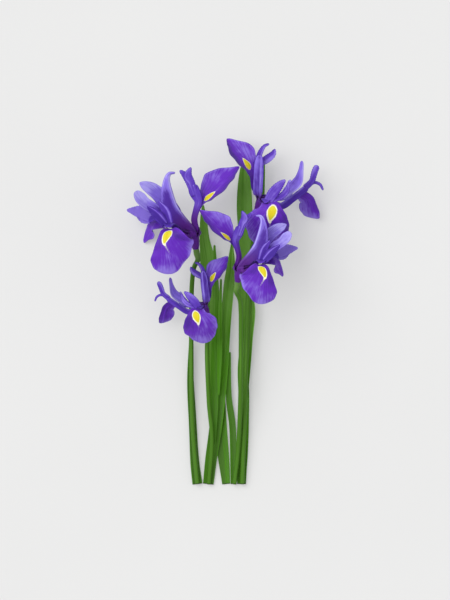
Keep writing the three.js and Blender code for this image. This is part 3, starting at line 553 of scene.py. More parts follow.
class IrisStageSettings(bpy.types.PropertyGroup):
    """Floor, light and camera."""

    floor: colour_property("Floor", "Pale grey of the floor", 176, 176, 176)
    sky: colour_property("Sky", "Pale light from all sides", 235, 235, 234)
    sun_strength: bpy.props.FloatProperty(
        name="Sun", description="Strength of the soft light from above", default=2.0, min=0
    )
    sun_size: angle_property("Sun size", "Angle that the soft light fills", 50)
    sun_slope: angle_property("Sun slope", "Angle of the soft light from upright", 32)
    camera_height: length_property("Camera height", "Height of the camera above the floor", 8000)
    camera_up: length_property("Camera offset", "How far the camera stands towards the blooms", 10.5)
    lens: bpy.props.FloatProperty(
        name="Lens", description="Focal length for a sensor 36 mm long", default=480, min=1
    )


# ---------------------------------------------------------------------------------------------
# Surfaces.
# ---------------------------------------------------------------------------------------------
def unit(vectors):
    """Vectors of length 1."""
    return vectors / np.maximum(np.linalg.norm(vectors, axis=-1, keepdims=True), 1e-12)


def smooth(value, low, high):
    """0 below low, 1 above high, and 3x^2 - 2x^3 between them."""
    x = np.clip((value - low) / (high - low), 0, 1)
    return x * x * (3 - 2 * x)


# How finely a path is first worked out between two rows, before its steps are laid along it.
FINE_STEPS = 24
# The lowest point of a petal or leaf above the floor, the room under the top of the box in which a high
# petal is pressed flatter, and how softly. Millimetres.
FLOOR_GAP = 0.02
HEADROOM = 4.6
GIVE = 4


def smooth_path(rows, steps, gather=1.0):
    """A Catmull-Rom curve through the rows, every column smoothed alike, cut into steps.

    Between two rows a column is half of 2b + (c - a)w + (2a - 5b + 4c - d)w^2 + (3b - a - 3c + d)w^3,
    where w runs from 0 to 1 and a, b, c, d are the rows round it. The distance from the root at step n is
    the length times 1 - (1 - n / steps)^gather, so a gather above 1 crowds the steps at the tip.
    Returns the rows at the steps and their distances from the root.
    """
    last = len(rows) - 1
    padded = np.vstack([2 * rows[0] - rows[1], rows, 2 * rows[-1] - rows[-2]])
    place = np.linspace(0, last, last * FINE_STEPS + 1)
    i = np.minimum(place.astype(int), last - 1)
    w = (place - i)[:, None]
    a, b, c, d = (padded[i + k] for k in range(4))
    square = 2 * a - 5 * b + 4 * c - d
    cube = 3 * b - a - 3 * c + d
    fine = 0.5 * (2 * b + (c - a) * w + square * w**2 + cube * w**3)
    reach = np.append(0, np.cumsum(np.linalg.norm(np.diff(fine[:, :3], axis=0), axis=1)))
    distance = reach[-1] * (1 - (1 - np.linspace(0, 1, steps + 1)) ** gather)
    even = np.stack([np.interp(distance, reach, column) for column in fine.T], axis=1)
    return even, distance


def path_length(rows):
    """Length of the smooth path through the rows."""
    return smooth_path(rows, 2)[1][-1]


def grid_normals(points):
    """Unit normals of a grid of points: its second direction crossed into its first."""
    along = np.gradient(points, axis=0)
    across = np.gradient(points, axis=1)
    return unit(np.cross(across, along))


class Blade:
    """The middle surface of a petal or leaf, as a grid of points with what the finish needs at each of them.

    Each ring lies across the path: its point at share s of the half width w, with cup angle c, stands
    w sin(cs) / c to the right of the path and w (1 - cos(cs)) / c towards the facing side. The shares run
    from -1 to 1 as a sine, so they crowd at the rims. A round tip narrows the last rings as a circle does.
    """

    def __init__(self, rows, grain, first_row=0, tip=1.5, least=6):
        numbered = np.column_stack([rows, np.arange(len(rows)) + first_row])
        widest = rows[:, 3:5].max()
        steps = max(10, math.ceil(path_length(rows) / grain))
        half = max(least, math.ceil(1.3 * widest / grain))
        path, self.distance = smooth_path(numbered, steps, 1.25)
        self.length = self.distance[-1]
        self.centre = path[:, :3]
        ahead = unit(np.gradient(self.centre, axis=0))
        facing = path[:, 6:9]
        self.facing = unit(facing - (facing * ahead).sum(1, keepdims=True) * ahead)
        self.right = np.cross(ahead, self.facing)
        self.row = np.repeat(path[:, 9:10], 2 * half + 1, axis=1)
        self.share = np.sin(np.linspace(-0.5 * math.pi, 0.5 * math.pi, 2 * half + 1))[None, :]
        self.share = np.repeat(self.share, steps + 1, axis=0)
        width = np.where(self.share < 0, path[:, 3:4], path[:, 4:5])
        tip_reach = tip * np.clip(path[-1, 3:5].max(), 0.4 * MM, 2 * MM)
        to_tip = self.length - self.distance
        self.tip = np.sqrt(np.clip(1 - (1 - to_tip / tip_reach).clip(0, 1) ** 2, 0.004, 1))[:, None]
        self.width = np.maximum(width, 0.35 * MM) * self.tip
        self.across = self.share * self.width
        self.cup = np.where(np.abs(path[:, 5:6]) < 1e-3, 1e-3, path[:, 5:6])
        self.along = np.repeat(self.distance[:, None], 2 * half + 1, axis=1)
        self.rim = np.minimum((1 - np.abs(self.share)) * self.width, to_tip[:, None])
        self.set_points()

    def set_points(self):
        angle = self.cup * self.share
        self.points = (
            self.centre[:, None]
            + self.right[:, None] * (self.width * np.sin(angle) / self.cup)[..., None]
            + self.facing[:, None] * (self.width * (1 - np.cos(angle)) / self.cup)[..., None]
        )

    def middle_line(self, width):
        """exp(-(across / width)^2): 1 on the middle line, and next to 0 from two widths on."""
        return np.exp(-((self.across / width) ** 2))

    def waves(self, length, phase, step=0.0, side=1):
        """sin(2 pi along / length + phase), with a step in the phase from the left half to the right one."""
        return np.sin(2 * math.pi * self.along / length + phase + np.where(side * self.share < 0, 0, step))

    def raise_by(self, height):
        """Moves every point by a height along its normal, which points to the facing side."""
        self.points = self.points + grid_normals(self.points) * height[..., None]

    def skin(self, thickness, keel, keel_width, fields):
        """Closed skin round the surface, as rings.

        Half the thickness is laid on either side, times 0.7 + 0.3 (1 - s^2), and rounded off at the rims by
        the square root of 1 - s^10. The keel is a ridge under the middle line that fades by 1 - s^4.
        No pair of points goes below the floor: both are lifted together. A middle point that stands e above
        the mark, the headroom under the top of the box, is lowered to give (1 - exp(-e / give)) above it.
        """
        mark = CAD_BOX[1][2] - HEADROOM * MM
        give = GIVE * MM
        high = np.maximum(self.points[..., 2] - mark, 0)
        self.points[..., 2] += give * (1 - np.exp(-high / give)) - high
        normal = grid_normals(self.points)
        s = np.abs(self.share)
        half = 0.5 * thickness * (0.7 + 0.3 * (1 - s**2)) * np.sqrt(np.clip(1 - s**10, 0, 1))
        half = half * np.clip(self.tip, 0.15, 1)
        ridge = keel * self.middle_line(keel_width) * self.tip * (1 - s**4)
        upper = self.points + normal * half[..., None]
        lower = self.points - normal * (half + ridge)[..., None]
        lift = np.maximum(0, FLOOR_GAP * MM - np.minimum(upper[..., 2], lower[..., 2]))
        upper[..., 2] += lift
        lower[..., 2] += lift
        back = np.s_[:, -2:0:-1]
        values = {name: np.concatenate([value, value[back]], axis=1) for name, value in fields.items()}
        values["under"] = np.concatenate([np.zeros_like(s), np.ones_like(s)[back]], axis=1)
        return loft(np.concatenate([upper, lower[back]], axis=1), values)


def loft(rings, fields):
    """Closed skin over rings of points, with a fan to the middle of each end ring. Faces point outwards."""
    count, around = rings.shape[:2]
    points = np.concatenate([rings.reshape(-1, 3), rings[[0, -1]].mean(axis=1)])
    values = {
        name: np.concatenate([value.reshape(-1), value[[0, -1]].mean(axis=1)])
        for name, value in fields.items()
    }
    here = np.arange(around)
    beside = (here + 1) % around
    ring = np.arange(count - 1)[:, None] * around
    quads = np.stack([ring + here, ring + beside, ring + around + beside, ring + around + here], axis=-1)
    middle = np.full(around, count * around)
    last = (count - 1) * around
    fans = np.concatenate([
        np.stack([middle, beside, here], axis=1),
        np.stack([middle + 1, last + here, last + beside], axis=1),
    ])
    return Skin(points, quads.reshape(-1, 4), fans, values).outwards()


class Skin:
    """A closed mesh: points, four-sided and three-sided faces, and fields with a value for each point."""

    def __init__(self, points, quads, fans, fields):
        self.points = points
        self.quads = quads
        self.fans = fans
        self.fields = fields

    def outwards(self):
        """Turns the faces round if the volume that they enclose comes out below zero."""
        triangles = np.concatenate([self.quads[:, [0, 1, 2]], self.quads[:, [0, 2, 3]], self.fans])
        middle = self.points.mean(axis=0)
        a, b, c = ((self.points - middle)[triangles[:, k]] for k in range(3))
        if (a * np.cross(b, c)).sum() < 0:
            self.quads = self.quads[:, ::-1]
            self.fans = self.fans[:, ::-1]
        return self


def joined(skins):
    """Several skins as one, for a piece of several closed parts."""
    shifts = np.cumsum([0] + [len(skin.points) for skin in skins[:-1]])
    return Skin(
        np.concatenate([skin.points for skin in skins]),
        np.concatenate([skin.quads + shift for skin, shift in zip(skins, shifts)]),
        np.concatenate([skin.fans + shift for skin, shift in zip(skins, shifts)]),
        {name: np.concatenate([skin.fields[name] for skin in skins]) for name in skins[0].fields},
    )


# Rings that close a cut end, as shares of its radius.
DISH_RINGS = (0.2, 0.6, 0.94)
# The distance to the rim that a finish reads on a round skin, which has none, and the one to the
# cut that it reads on a leaf that leaves a stem. Millimetres.
NO_RIM = 5.0
NO_CUT = 9.0


def stalk(rows, grain, sides, section, rule, dish=0.0):
    """Round skin along rows of x, y, z, radius, with its cut end dished in where a dish is given.

    At angle a round the path, the point stands section(distance, a) times the radius from it. The rings of a
    dished end are pushed in along the path by the dish times 1 - share^2. The rule takes the distance along
    the path in millimetres and the angle, and gives the fields.
    """
    steps = max(8, math.ceil(path_length(rows) / grain))
    path, distance = smooth_path(rows, steps)
    ahead = unit(np.gradient(path[:, :3], axis=0))
    up = np.array([0.0, 0.0, 1.0]) - ahead * ahead[:, 2:3]
    up = unit(np.where(np.abs(ahead[:, 2:3]) > 0.95, np.array([0.0, 1.0, 0.0]), up))
    up = unit(up - (up * ahead).sum(1, keepdims=True) * ahead)
    right = np.cross(ahead, up)
    angle = np.linspace(0, 2 * math.pi, sides, endpoint=False)[None, :]
    radius = path[:, 3:4] * section(distance[:, None], angle)
    spoke = right[:, None] * np.cos(angle)[..., None] + up[:, None] * np.sin(angle)[..., None]
    rings = path[:, None, :3] + spoke * radius[..., None]
    core = np.zeros(len(rings))
    if dish:
        shares = np.array(DISH_RINGS)
        start = path[0, :3] + spoke[:1] * (radius[:1] * shares[:, None])[..., None]
        start = start + ahead[0] * (dish * (1 - shares**2))[:, None, None]
        rings = np.concatenate([start, rings])
        core = np.concatenate([1 - shares, core])
        distance = np.concatenate([np.zeros(len(shares)), distance])
    values = {"rim": NO_RIM, "core": core[:, None], **rule(distance[:, None] / MM, angle)}
    return loft(rings, spread_over(rings, values))


def spread_over(rings, values):
    """Fields at every point of the rings, from values for all of them, for each ring or for each angle."""
    return {name: np.broadcast_to(value, rings.shape[:2]) for name, value in values.items()}


def patches(blade, marks, side):
    """Sum of soft patches, each its strength times exp(-(rows away / reach)^2 - (shares away / reach)^2)."""
    total = np.zeros_like(blade.share)
    for row, share, row_reach, share_reach, strength in marks:
        away = ((blade.row - row) / row_reach) ** 2 + ((side * blade.share - share) / share_reach) ** 2
        total += strength * np.exp(-away)
    return total


# ---------------------------------------------------------------------------------------------
# Finishes.
# ---------------------------------------------------------------------------------------------
class Value:
    """A number's socket in a finish. Python's operators on it add Math nodes."""

    def __init__(self, finish, socket):
        self.finish = finish
        self.socket = socket

    def math(self, operation, *others):
        inputs = dict(enumerate((self, *others)))
        return self.finish.node("ShaderNodeMath", {"operation": operation}, inputs)

    def __add__(self, other):
        return self.math("ADD", other)

    __radd__ = __add__

    def __sub__(self, other):
        return self.math("SUBTRACT", other)

    def __rsub__(self, other):
        return self.finish.node("ShaderNodeMath", {"operation": "SUBTRACT"}, {0: other, 1: self})

    def __mul__(self, other):
        return self.math("MULTIPLY", other)

    __rmul__ = __mul__

    def __abs__(self):
        return self.math("ABSOLUTE")

    def sine(self):
        return self.math("SINE")

    def most(self, other):
        return self.math("MAXIMUM", other)

    def smooth(self, low, high):
        """0 at low, 1 at high and smooth between them; low may be the larger one."""
        inputs = {"Value": self, "From Min": low, "From Max": high, "To Min": 0.0, "To Max": 1.0}
        if low > high:
            inputs.update({"From Min": high, "From Max": low, "To Min": 1.0, "To Max": 0.0})
        return self.finish.node("ShaderNodeMapRange", {"interpolation_type": "SMOOTHSTEP"}, inputs)


# Scales of the noises on the object's own coordinates, in spots for each metre.
PETAL_CLOUD = 70.0
PETAL_SKIN = 1500.0
VEIN_WANDER = 110.0
GREEN_SKIN = 1300.0
CARD_CLOUD = 3.0
CARD_TOOTH = 900.0
# The dark line round a cut end, and how strongly the floor shines, so that its shadows stay soft.
CUT_LINE = srgb(36, 52, 14)
FLOOR_GLOW = 0.58


class Finish:
    """A material and its nodes."""

    def __init__(self, name):
        self.material = bpy.data.materials.new(name)
        self.material.use_nodes = True
        self.tree = self.material.node_tree
        self.tree.nodes.clear()

    def node(self, kind, settings=None, inputs=None, output=0):
        """Adds a node: its settings first, then the values or links of its sockets. Gives one output."""
        made = self.tree.nodes.new(kind)
        for key, value in (settings or {}).items():
            setattr(made, key, value)
        for key, value in (inputs or {}).items():
            socket = made.inputs[key]
            if isinstance(value, Value):
                self.tree.links.new(value.socket, socket)
            else:
                socket.default_value = value
        return Value(self, made.outputs[output]) if made.outputs else None

    def parts(self, attribute):
        """The three numbers of a point attribute."""
        vector = self.node("ShaderNodeAttribute", {"attribute_name": attribute}, output="Vector")
        split = self.node("ShaderNodeSeparateXYZ", inputs={0: vector})
        return tuple(Value(self, output) for output in split.socket.node.outputs)

    def joint(self, x, y, z):
        return self.node("ShaderNodeCombineXYZ", inputs={0: x, 1: y, 2: z})

    def place(self):
        return self.node("ShaderNodeTexCoord", output="Object")

    def noise(self, vector, scale, detail):
        inputs = {"Vector": vector, "Scale": scale, "Detail": detail, "Roughness": 0.55}
        return self.node("ShaderNodeTexNoise", {"noise_dimensions": "3D"}, inputs)

    def mix(self, factor, first, second):
        """First colour where the factor is 0, second where it is 1."""
        first, second = ((*c, 1.0) if isinstance(c, tuple) else c for c in (first, second))
        settings = {"data_type": "RGBA", "clamp_factor": True}
        return self.node("ShaderNodeMix", settings, {0: factor, 6: first, 7: second}, output=2)

    def ramp(self, shade, dark, middle, light):
        """Dark at -1, middle at 0 and light at 1."""
        return self.mix(shade.smooth(0.0, 1.0), self.mix(shade.smooth(-1.0, 0.0), dark, middle), light)

    def surface(self, colour, roughness, height, relief, settings):
        """Joins the finish to the shader, with a bump of the given relief and the other sockets' numbers."""
        bump = {"Height": height, "Distance": relief, "Strength": 0.7}
        inputs = {"Base Color": colour, "Roughness": roughness}
        inputs["Normal"] = self.node("ShaderNodeBump", inputs=bump)
        shader = self.node("ShaderNodeBsdfPrincipled", inputs={**inputs, **settings})
        self.node("ShaderNodeOutputMaterial", inputs={"Surface": shader})
        return self.material


def vein_lines(fan, count, width):
    """Thin lines where the fan times the count is a whole number."""
    return abs((fan * (math.pi * count)).sine()).smooth(width, 0.0)


def petal_finish(name, dark, middle, light, petals, signal=False):
    """Petal skin: soft patches, most of them painted shade and painted highlight, a painted highlight along
    the rims, painted shade on the underside, veins that fork as the petal widens, a dark foot, and the
    signal.

    The attribute tone holds patches, distance to the rim and 1 on the underside; veins holds the fan across
    the petal, the distance beyond its claw and the distance from its root; signal holds the patch's inside,
    the white border and the pale line that leaves it. Distances are in millimetres.
    """
    finish = Finish(name)
    patch, rim, under = finish.parts("tone")
    fan, beyond, root = finish.parts("veins")
    place = finish.place()
    cloud = finish.noise(place, PETAL_CLOUD, 2.0)
    fibre = finish.noise(finish.joint(fan * 9.0, beyond * 0.06, root * 0.02), 1.0, 3.0)
    skin = finish.noise(place, PETAL_SKIN, 1.0)
    wander = fan + (finish.noise(place, VEIN_WANDER, 1.0) - 0.5) * 0.12
    strong = vein_lines(wander, 3.0, 0.28)
    forked = vein_lines(wander + 0.08, 7.0, 0.34) * beyond.smooth(-6.0, 6.0)
    finest = vein_lines(wander + 0.03, 15.0, 0.5) * beyond.smooth(6.0, 18.0)
    veins = strong.most(forked * 0.8).most(finest * 0.55)
    # A pale band of painted highlight just inside the rim, and a dark line at the very edge.
    pale_rim = rim.smooth(2.8, 0.4) * 0.45
    dark_edge = rim.smooth(0.8, 0.1)
    foot = root.smooth(27.0, 12.0) * 0.9
    shade = patch + (cloud - 0.5) * 1.6 + (fibre - 0.5) * 1.3 - veins * 0.28
    # The underside is a little darker: painted shade.
    shade = shade + pale_rim - dark_edge - under * 0.1
    colour = finish.mix(foot, finish.ramp(shade, dark, middle, light), tuple(petals.tube))
    height = skin * 0.25 + (1 - veins) * 0.6
    if signal:
        inside, border, tail = finish.parts("signal")
        ragged = (fibre - 0.5) * 0.35
        white = (border + ragged).smooth(-0.05, 0.12).most(tail) * (1 - under)
        yellow = (inside + ragged * 0.6).smooth(-0.03, 0.08) * (1 - under)
        deep = (inside + fibre - 0.4).smooth(0.2, 0.9)
        heart = finish.mix(deep, tuple(petals.signal), tuple(petals.signal_heart))
        colour = finish.mix(white, colour, tuple(petals.signal_border))
        colour = finish.mix(yellow, colour, heart)
    roughness = 0.5 + (skin - 0.5) * 0.2 + veins * 0.05
    gloss = {"Sheen Weight": 0.05, "Specular IOR Level": 0.22}
    return finish.surface(colour, roughness, height, petals.vein_relief, gloss)


def green_finish(name, dark, middle, light, greens, ribs):
    """Leaf or stem skin: stripes along its length, fine parallel ribs, and a darker line at the cut end.

    The attribute tone holds patches, distance to the rim and 1 on the underside; veins holds the share
    across, the distance across and the distance along; ends holds the ovary's share, the cut's core and the
    distance from the cut end. Distances are in millimetres.
    """
    finish = Finish(name)
    patch, rim, under = finish.parts("tone")
    share, across, along = finish.parts("veins")
    bud, core, from_cut = finish.parts("ends")
    broad = finish.noise(finish.joint(across * 0.55, along * 0.012, bud), 1.0, 2.0)
    narrow = finish.noise(finish.joint(across * 2.2, along * 0.02, 3.0), 1.0, 2.0)
    skin = finish.noise(finish.place(), GREEN_SKIN, 1.0)
    lines = vein_lines(share, ribs, 0.5)
    pale_rim = rim.smooth(0.5, 0.0) * 0.4
    cut_line = from_cut.smooth(1.4, 0.3) * 0.8
    pith = core.smooth(0.05, 0.35)
    shade = patch + (broad - 0.5) * 1.8 + (narrow - 0.5) + lines * 0.12 - under * 0.15 + pale_rim
    colour = finish.mix(bud, finish.ramp(shade, dark, middle, light), tuple(greens.ovary))
    colour = finish.mix(pith, finish.mix(cut_line, colour, CUT_LINE), tuple(greens.cut))
    height = lines * 0.5 + skin * 0.3 + narrow * 0.4
    roughness = 0.46 + (skin - 0.5) * 0.2 + (broad - 0.5) * 0.15
    gloss = {"Coat Weight": 0.02, "Specular IOR Level": 0.12}
    return finish.surface(colour, roughness, height, greens.rib_relief, gloss)


def floor_finish(colour):
    """Matt card: almost one colour, with a fine tooth, and a glow of its own that lightens the shadows on
    it.
    """
    finish = Finish("pale_card")
    place = finish.place()
    cloud = finish.noise(place, CARD_CLOUD, 2.0)
    tooth = finish.noise(place, CARD_TOOTH, 2.0)
    deeper = tuple(0.985 * value for value in colour)
    shade = finish.mix(cloud.smooth(0.3, 0.7), tuple(colour), deeper)
    glow = {"Emission Color": shade, "Emission Strength": FLOOR_GLOW}
    return finish.surface(shade, 0.9 + (tooth - 0.5) * 0.1, tooth, 0.05 * MM, glow)


# ---------------------------------------------------------------------------------------------
# Pieces.
# ---------------------------------------------------------------------------------------------

# The attributes that the finishes read, and the fields that fill them. A field that a skin lacks is 0.
ATTRIBUTES = {
    "tone": ("patch", "rim", "under"),
    "veins": ("fan", "beyond", "root"),
    "signal": ("inside", "border", "tail"),
    "ends": ("bud", "core", "from_cut"),
}
# Added to a crest's or stigma's distance from the root, so that it doesn't get the dark foot. Millimetres.
PAST_FOOT = 40
# The distance across the stripes from one leaf to the next, so no two are striped alike. Millimetres.
STRIPE_STEP = 40


def add_piece(name, skin, material, slot, *nodes, sharp=None):
    """Puts a skin into a mesh, gives it its finish and ties it to the frame."""
    if not np.isfinite(skin.points).all():
        raise ValueError(f"{name} has points that are no numbers")
    mesh = bpy.data.meshes.new(name)
    mesh.from_pydata(skin.points.tolist(), [], skin.quads.tolist() + skin.fans.tolist())
    mesh.polygons.foreach_set("use_smooth", np.ones(len(mesh.polygons), bool))
    if sharp is not None:
        mesh.set_sharp_from_angle(angle=sharp)
    empty = np.zeros(len(skin.points))
    for attribute, names in ATTRIBUTES.items():
        if skin.fields.keys() & set(names):
            values = np.stack([skin.fields.get(part, empty) for part in names], axis=1)
            made = mesh.attributes.new(attribute, "FLOAT_VECTOR", "POINT")
            made.data.foreach_set("vector", values.astype(np.float32).ravel())
    mesh.materials.append(material)
    mesh.update()
    piece = bpy.data.objects.new(name, mesh)
    bpy.context.scene.collection.objects.link(piece)
    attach(piece, "root")
    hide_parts(*nodes)
    return piece


class Bloom:
    """One bloom: its foot, axis and spokes, and how its rows are turned, mirrored, scaled and flattened."""

    def __init__(self, name, kind, foot, scale, flat, mirror=1, turn=0):
        self.name = name
        self.kind = kind
        self.foot = np.array(foot) * MM
        self.scale = scale
        self.mm = scale * MM
        self.flat = flat
        self.mirror = mirror
        self.turn = math.radians(turn)
        self.axis = unit(self.squeeze(kind["axis"]))
        spokes = self.squeeze(kind["spokes"])
        self.spokes = unit(spokes - (spokes @ self.axis)[:, None] * self.axis)

    def place(self, vectors):
        """Turned about Z, then mirrored in X."""
        x, y, z = np.moveaxis(np.asarray(vectors, float), -1, 0)
        cosine, sine = math.cos(self.turn), math.sin(self.turn)
        return np.stack([self.mirror * (x * cosine - y * sine), x * sine + y * cosine, z], axis=-1)

    def squeeze(self, vectors):
        """Placed, scaled, and pressed flat along Z."""
        return self.place(vectors) * self.scale * np.array([1, 1, self.flat])

    def point(self, position):
        return self.foot + self.squeeze(position) * MM

    def rows(self, rows):
        """Rows in their place, in metres, each with the facing of the last row that gives one."""
        full = [rows[0]]
        for row in rows[1:]:
            full.append((*row, *full[-1][len(row):]))
        rows = np.array(full, float)
        sides = rows[:, 3:5] if self.mirror > 0 else rows[:, 4:2:-1]
        return np.column_stack([
            self.point(rows[:, :3]), sides * self.mm, rows[:, 5], self.place(rows[:, 6:9])
        ])

    def root(self, spoke, table):
        """Rows inside the tube, beside its axis along a spoke, facing the axis and bent round it."""
        height, distance, half_width = (np.array(table, float) * self.mm).T
        points = self.foot + self.axis * height[:, None] + spoke * distance[:, None]
        cup = np.minimum(half_width / distance, 1)
        return np.column_stack([points, half_width, half_width, cup, np.tile(-spoke, (len(table), 1))])

    def petal(self, spoke, root, rows):
        """A petal's rows, those inside the tube first."""
        return np.vstack([self.root(spoke, root), self.rows(rows)])

    def blade(self, spoke, root, rows, grain):
        """A petal from its root in the tube to its tip. Row 0 is the first one outside the tube."""
        return Blade(self.petal(spoke, root, rows), grain, first_row=-len(root))


BLOOMS = (
    Bloom("iris_a", SIDE_BLOOM, (-29, 61.5, 36.8), 1.0, 0.85),
    Bloom("iris_b", SIDE_BLOOM, (12.5, 28.5, 57), 0.87, 0.85, mirror=-1),
    Bloom("iris_c", FRONT_BLOOM, (32, 99, 20.5), 1.0, 0.75),
    Bloom("iris_d", FRONT_BLOOM, (-17.2, -4.1, 32), 0.785, 0.75, mirror=-1, turn=-3.6),
)


def petal_fields(bloom, blade, marks, claw, spread, beyond_from=0.0, root_from=0):
    """What the petal finish reads. The fan is the distance across over claw + spread times that beyond."""
    side = bloom.mirror
    beyond = (blade.along - beyond_from) / MM
    across = side * blade.across / MM
    return {
        "patch": patches(blade, marks, side),
        "rim": blade.rim / MM,
        "fan": across / (claw + spread * np.maximum(beyond, 0)),
        "beyond": beyond,
        "root": root_from + blade.along / MM / bloom.scale * bloom.kind["foot_rate"],
    }


# How much x, y and z count when the point of a fall that is nearest to its signal's middle is looked for.
SIGHT = np.array([1, 1, 0.3])


def fall_skin(bloom, k, petals):
    """A fall: a grooved claw that widens into a blade with a waved rim, a ridge in its signal and a midrib.

    The rim swings as ruffle |s|^2.5 sin(2 pi along / ruffle length), where the blade is wide. The groove and
    the ridge follow the middle line. In the signal, u and v are the distances across and along it, in its
    half widths and half lengths, and its inside is 1 - hypot(u / taper, v), where the taper narrows it from
    1.2 at its root to 0.5 at its far end.
    """
    blade = bloom.blade(bloom.spokes[k], FALL_ROOT, bloom.kind["falls"][k], petals.grain)
    scale, mm, side = bloom.scale, bloom.mm, bloom.mirror
    wave = blade.waves(petals.ruffle_length * scale, 1.3 * k, 1.9, side)
    swell = smooth(blade.width, 5 * mm, 13 * mm)
    ruffle = petals.ruffle * scale * swell * np.abs(blade.share) ** 2.5 * wave
    centre, half_width, half_length, lean, white, line = bloom.kind["signals"][k]
    from_centre = (blade.points - bloom.point(centre)) * SIGHT
    nearest = np.linalg.norm(from_centre, axis=-1).argmin()
    middle, offset = blade.along.ravel()[nearest], blade.across.ravel()[nearest]
    v = (blade.along - middle) / (half_length * mm)
    bend = lean * (np.minimum(v, 1) - 1.2 * np.maximum(v - 1, 0))
    u = (side * (blade.across - offset) / mm - bend) / half_width
    taper = 1 - 0.5 * np.clip(v, -0.4, 1)
    inside = 1 - np.hypot(u / taper, v)
    relief = 0.5 * MM * smooth(inside, -0.1, 0.4) - 0.25 * MM * smooth(-inside, 0, 0.5)
    blade.raise_by(ruffle + relief * blade.middle_line(0.9 * MM))
    fields = petal_fields(bloom, blade, bloom.kind["tones"]["falls"][k], 4.4, 0.42, middle - 6 * mm)
    thread = np.exp(-((u * half_width * np.clip(v, 1, 3) / 0.9) ** 2))
    fields.update(
        inside=inside,
        border=inside + white * (0.3 + 0.7 * smooth(v, -0.6, 0.7)),
        tail=thread * smooth(v, 0.7, 1.1) * smooth(-v, -2.9, -1.2) * line,
    )
    return blade.skin(petals.thickness, petals.midrib * scale, 1.1 * MM, fields)


def standard_skin(bloom, k, petals):
    """A standard: a narrow claw, a blade with a shallow groove and a softly waved rim.

    The rim swings as 0.7 ruffle s^2 sin(2 pi along / (1.3 ruffle length)), where the blade is wide.
    """
    blade = bloom.blade(-bloom.spokes[k], STANDARD_ROOT, bloom.kind["standards"][k], petals.grain)
    scale, mm = bloom.scale, bloom.mm
    wave = blade.waves(1.3 * petals.ruffle_length * scale, 0.7 + 2.1 * k, 2.4, bloom.mirror)
    ruffle = 0.7 * petals.ruffle * scale * smooth(blade.width, 3 * mm, 9 * mm) * blade.share**2 * wave
    blade.raise_by(ruffle - 0.25 * MM * blade.middle_line(0.8 * MM))
    claw_end = np.interp(1, blade.row[:, 0], blade.distance)
    fields = petal_fields(bloom, blade, bloom.kind["tones"]["standards"][k], 3.2, 0.22, claw_end)
    return blade.skin(petals.thickness * 0.9, petals.midrib * 0.6 * scale, 0.8 * MM, fields)


def arm_skins(bloom, k, petals):
    """A style arm with its two crest lobes and the flap of its stigma, as closed skins.

    The arm's keel stands up on its facing side. The lobes' rims are toothed: the half width grows and
    shrinks as the size of sin(pi along / tooth) does, more towards the rim.
    """
    mm = bloom.mm
    kind = bloom.kind
    tones = kind["tones"]
    arm = bloom.blade(bloom.spokes[k], ARM_ROOT, kind["arms"][k], petals.grain)
    arm.raise_by(0.55 * mm * arm.middle_line(0.9 * mm))
    fields = petal_fields(bloom, arm, tones["arms"][k], 3.2, 0.3, 0.6 * arm.length)
    skins = [arm.skin(petals.thickness, 0.0, MM, fields)]
    for n, lobe in enumerate(kind["lobes"][k]):
        blade = Blade(bloom.rows(lobe), petals.grain * 0.8, tip=1.6)
        tooth = np.abs(np.sin(math.pi * blade.along / (2.3 * mm) + 0.9 * n + blade.share))
        blade.width = blade.width * (1 + 0.14 * (tooth - 0.5) * blade.share**4 * smooth(blade.row, 0.3, 1.2))
        blade.set_points()
        wave = blade.waves(7 * mm, 1.7 * n + k)
        blade.raise_by(0.35 * mm * blade.share**2 * wave * smooth(blade.row, 0.2, 1.0))
        fields = petal_fields(bloom, blade, tones["lobes"][k][n], 3.0, 0.12, root_from=PAST_FOOT)
        skins.append(blade.skin(petals.thickness * 0.8, 0.2 * mm, 0.7 * mm, fields))
    skins.append(stigma_skin(bloom, arm, petals))
    return skins


def stigma_skin(bloom, arm, petals):
    """The flap under a crest: a short blade that leaves the arm's underside and points on past it.

    Its three rows follow the arm's middle line close to its end, each further below it than the last.
    """
    at = np.searchsorted(arm.distance, arm.length - np.array([7.0, 4.0, 1.2]) * bloom.mm)
    drop = np.array([0.25, 1.1, 2.7])[:, None] * bloom.mm
    centres = arm.centre[at] - arm.facing[at] * drop
    width = 0.5 * arm.width[at][:, :1]
    rows = np.column_stack([centres, width, width, np.full(3, -0.3), arm.facing[at]])
    blade = Blade(rows, petals.grain * 0.8)
    fields = petal_fields(bloom, blade, ((1, 0, 3, 3, 0.8),), 3.0, 0.1, root_from=PAST_FOOT)
    return blade.skin(petals.thickness * 0.6, 0.0, MM, fields)


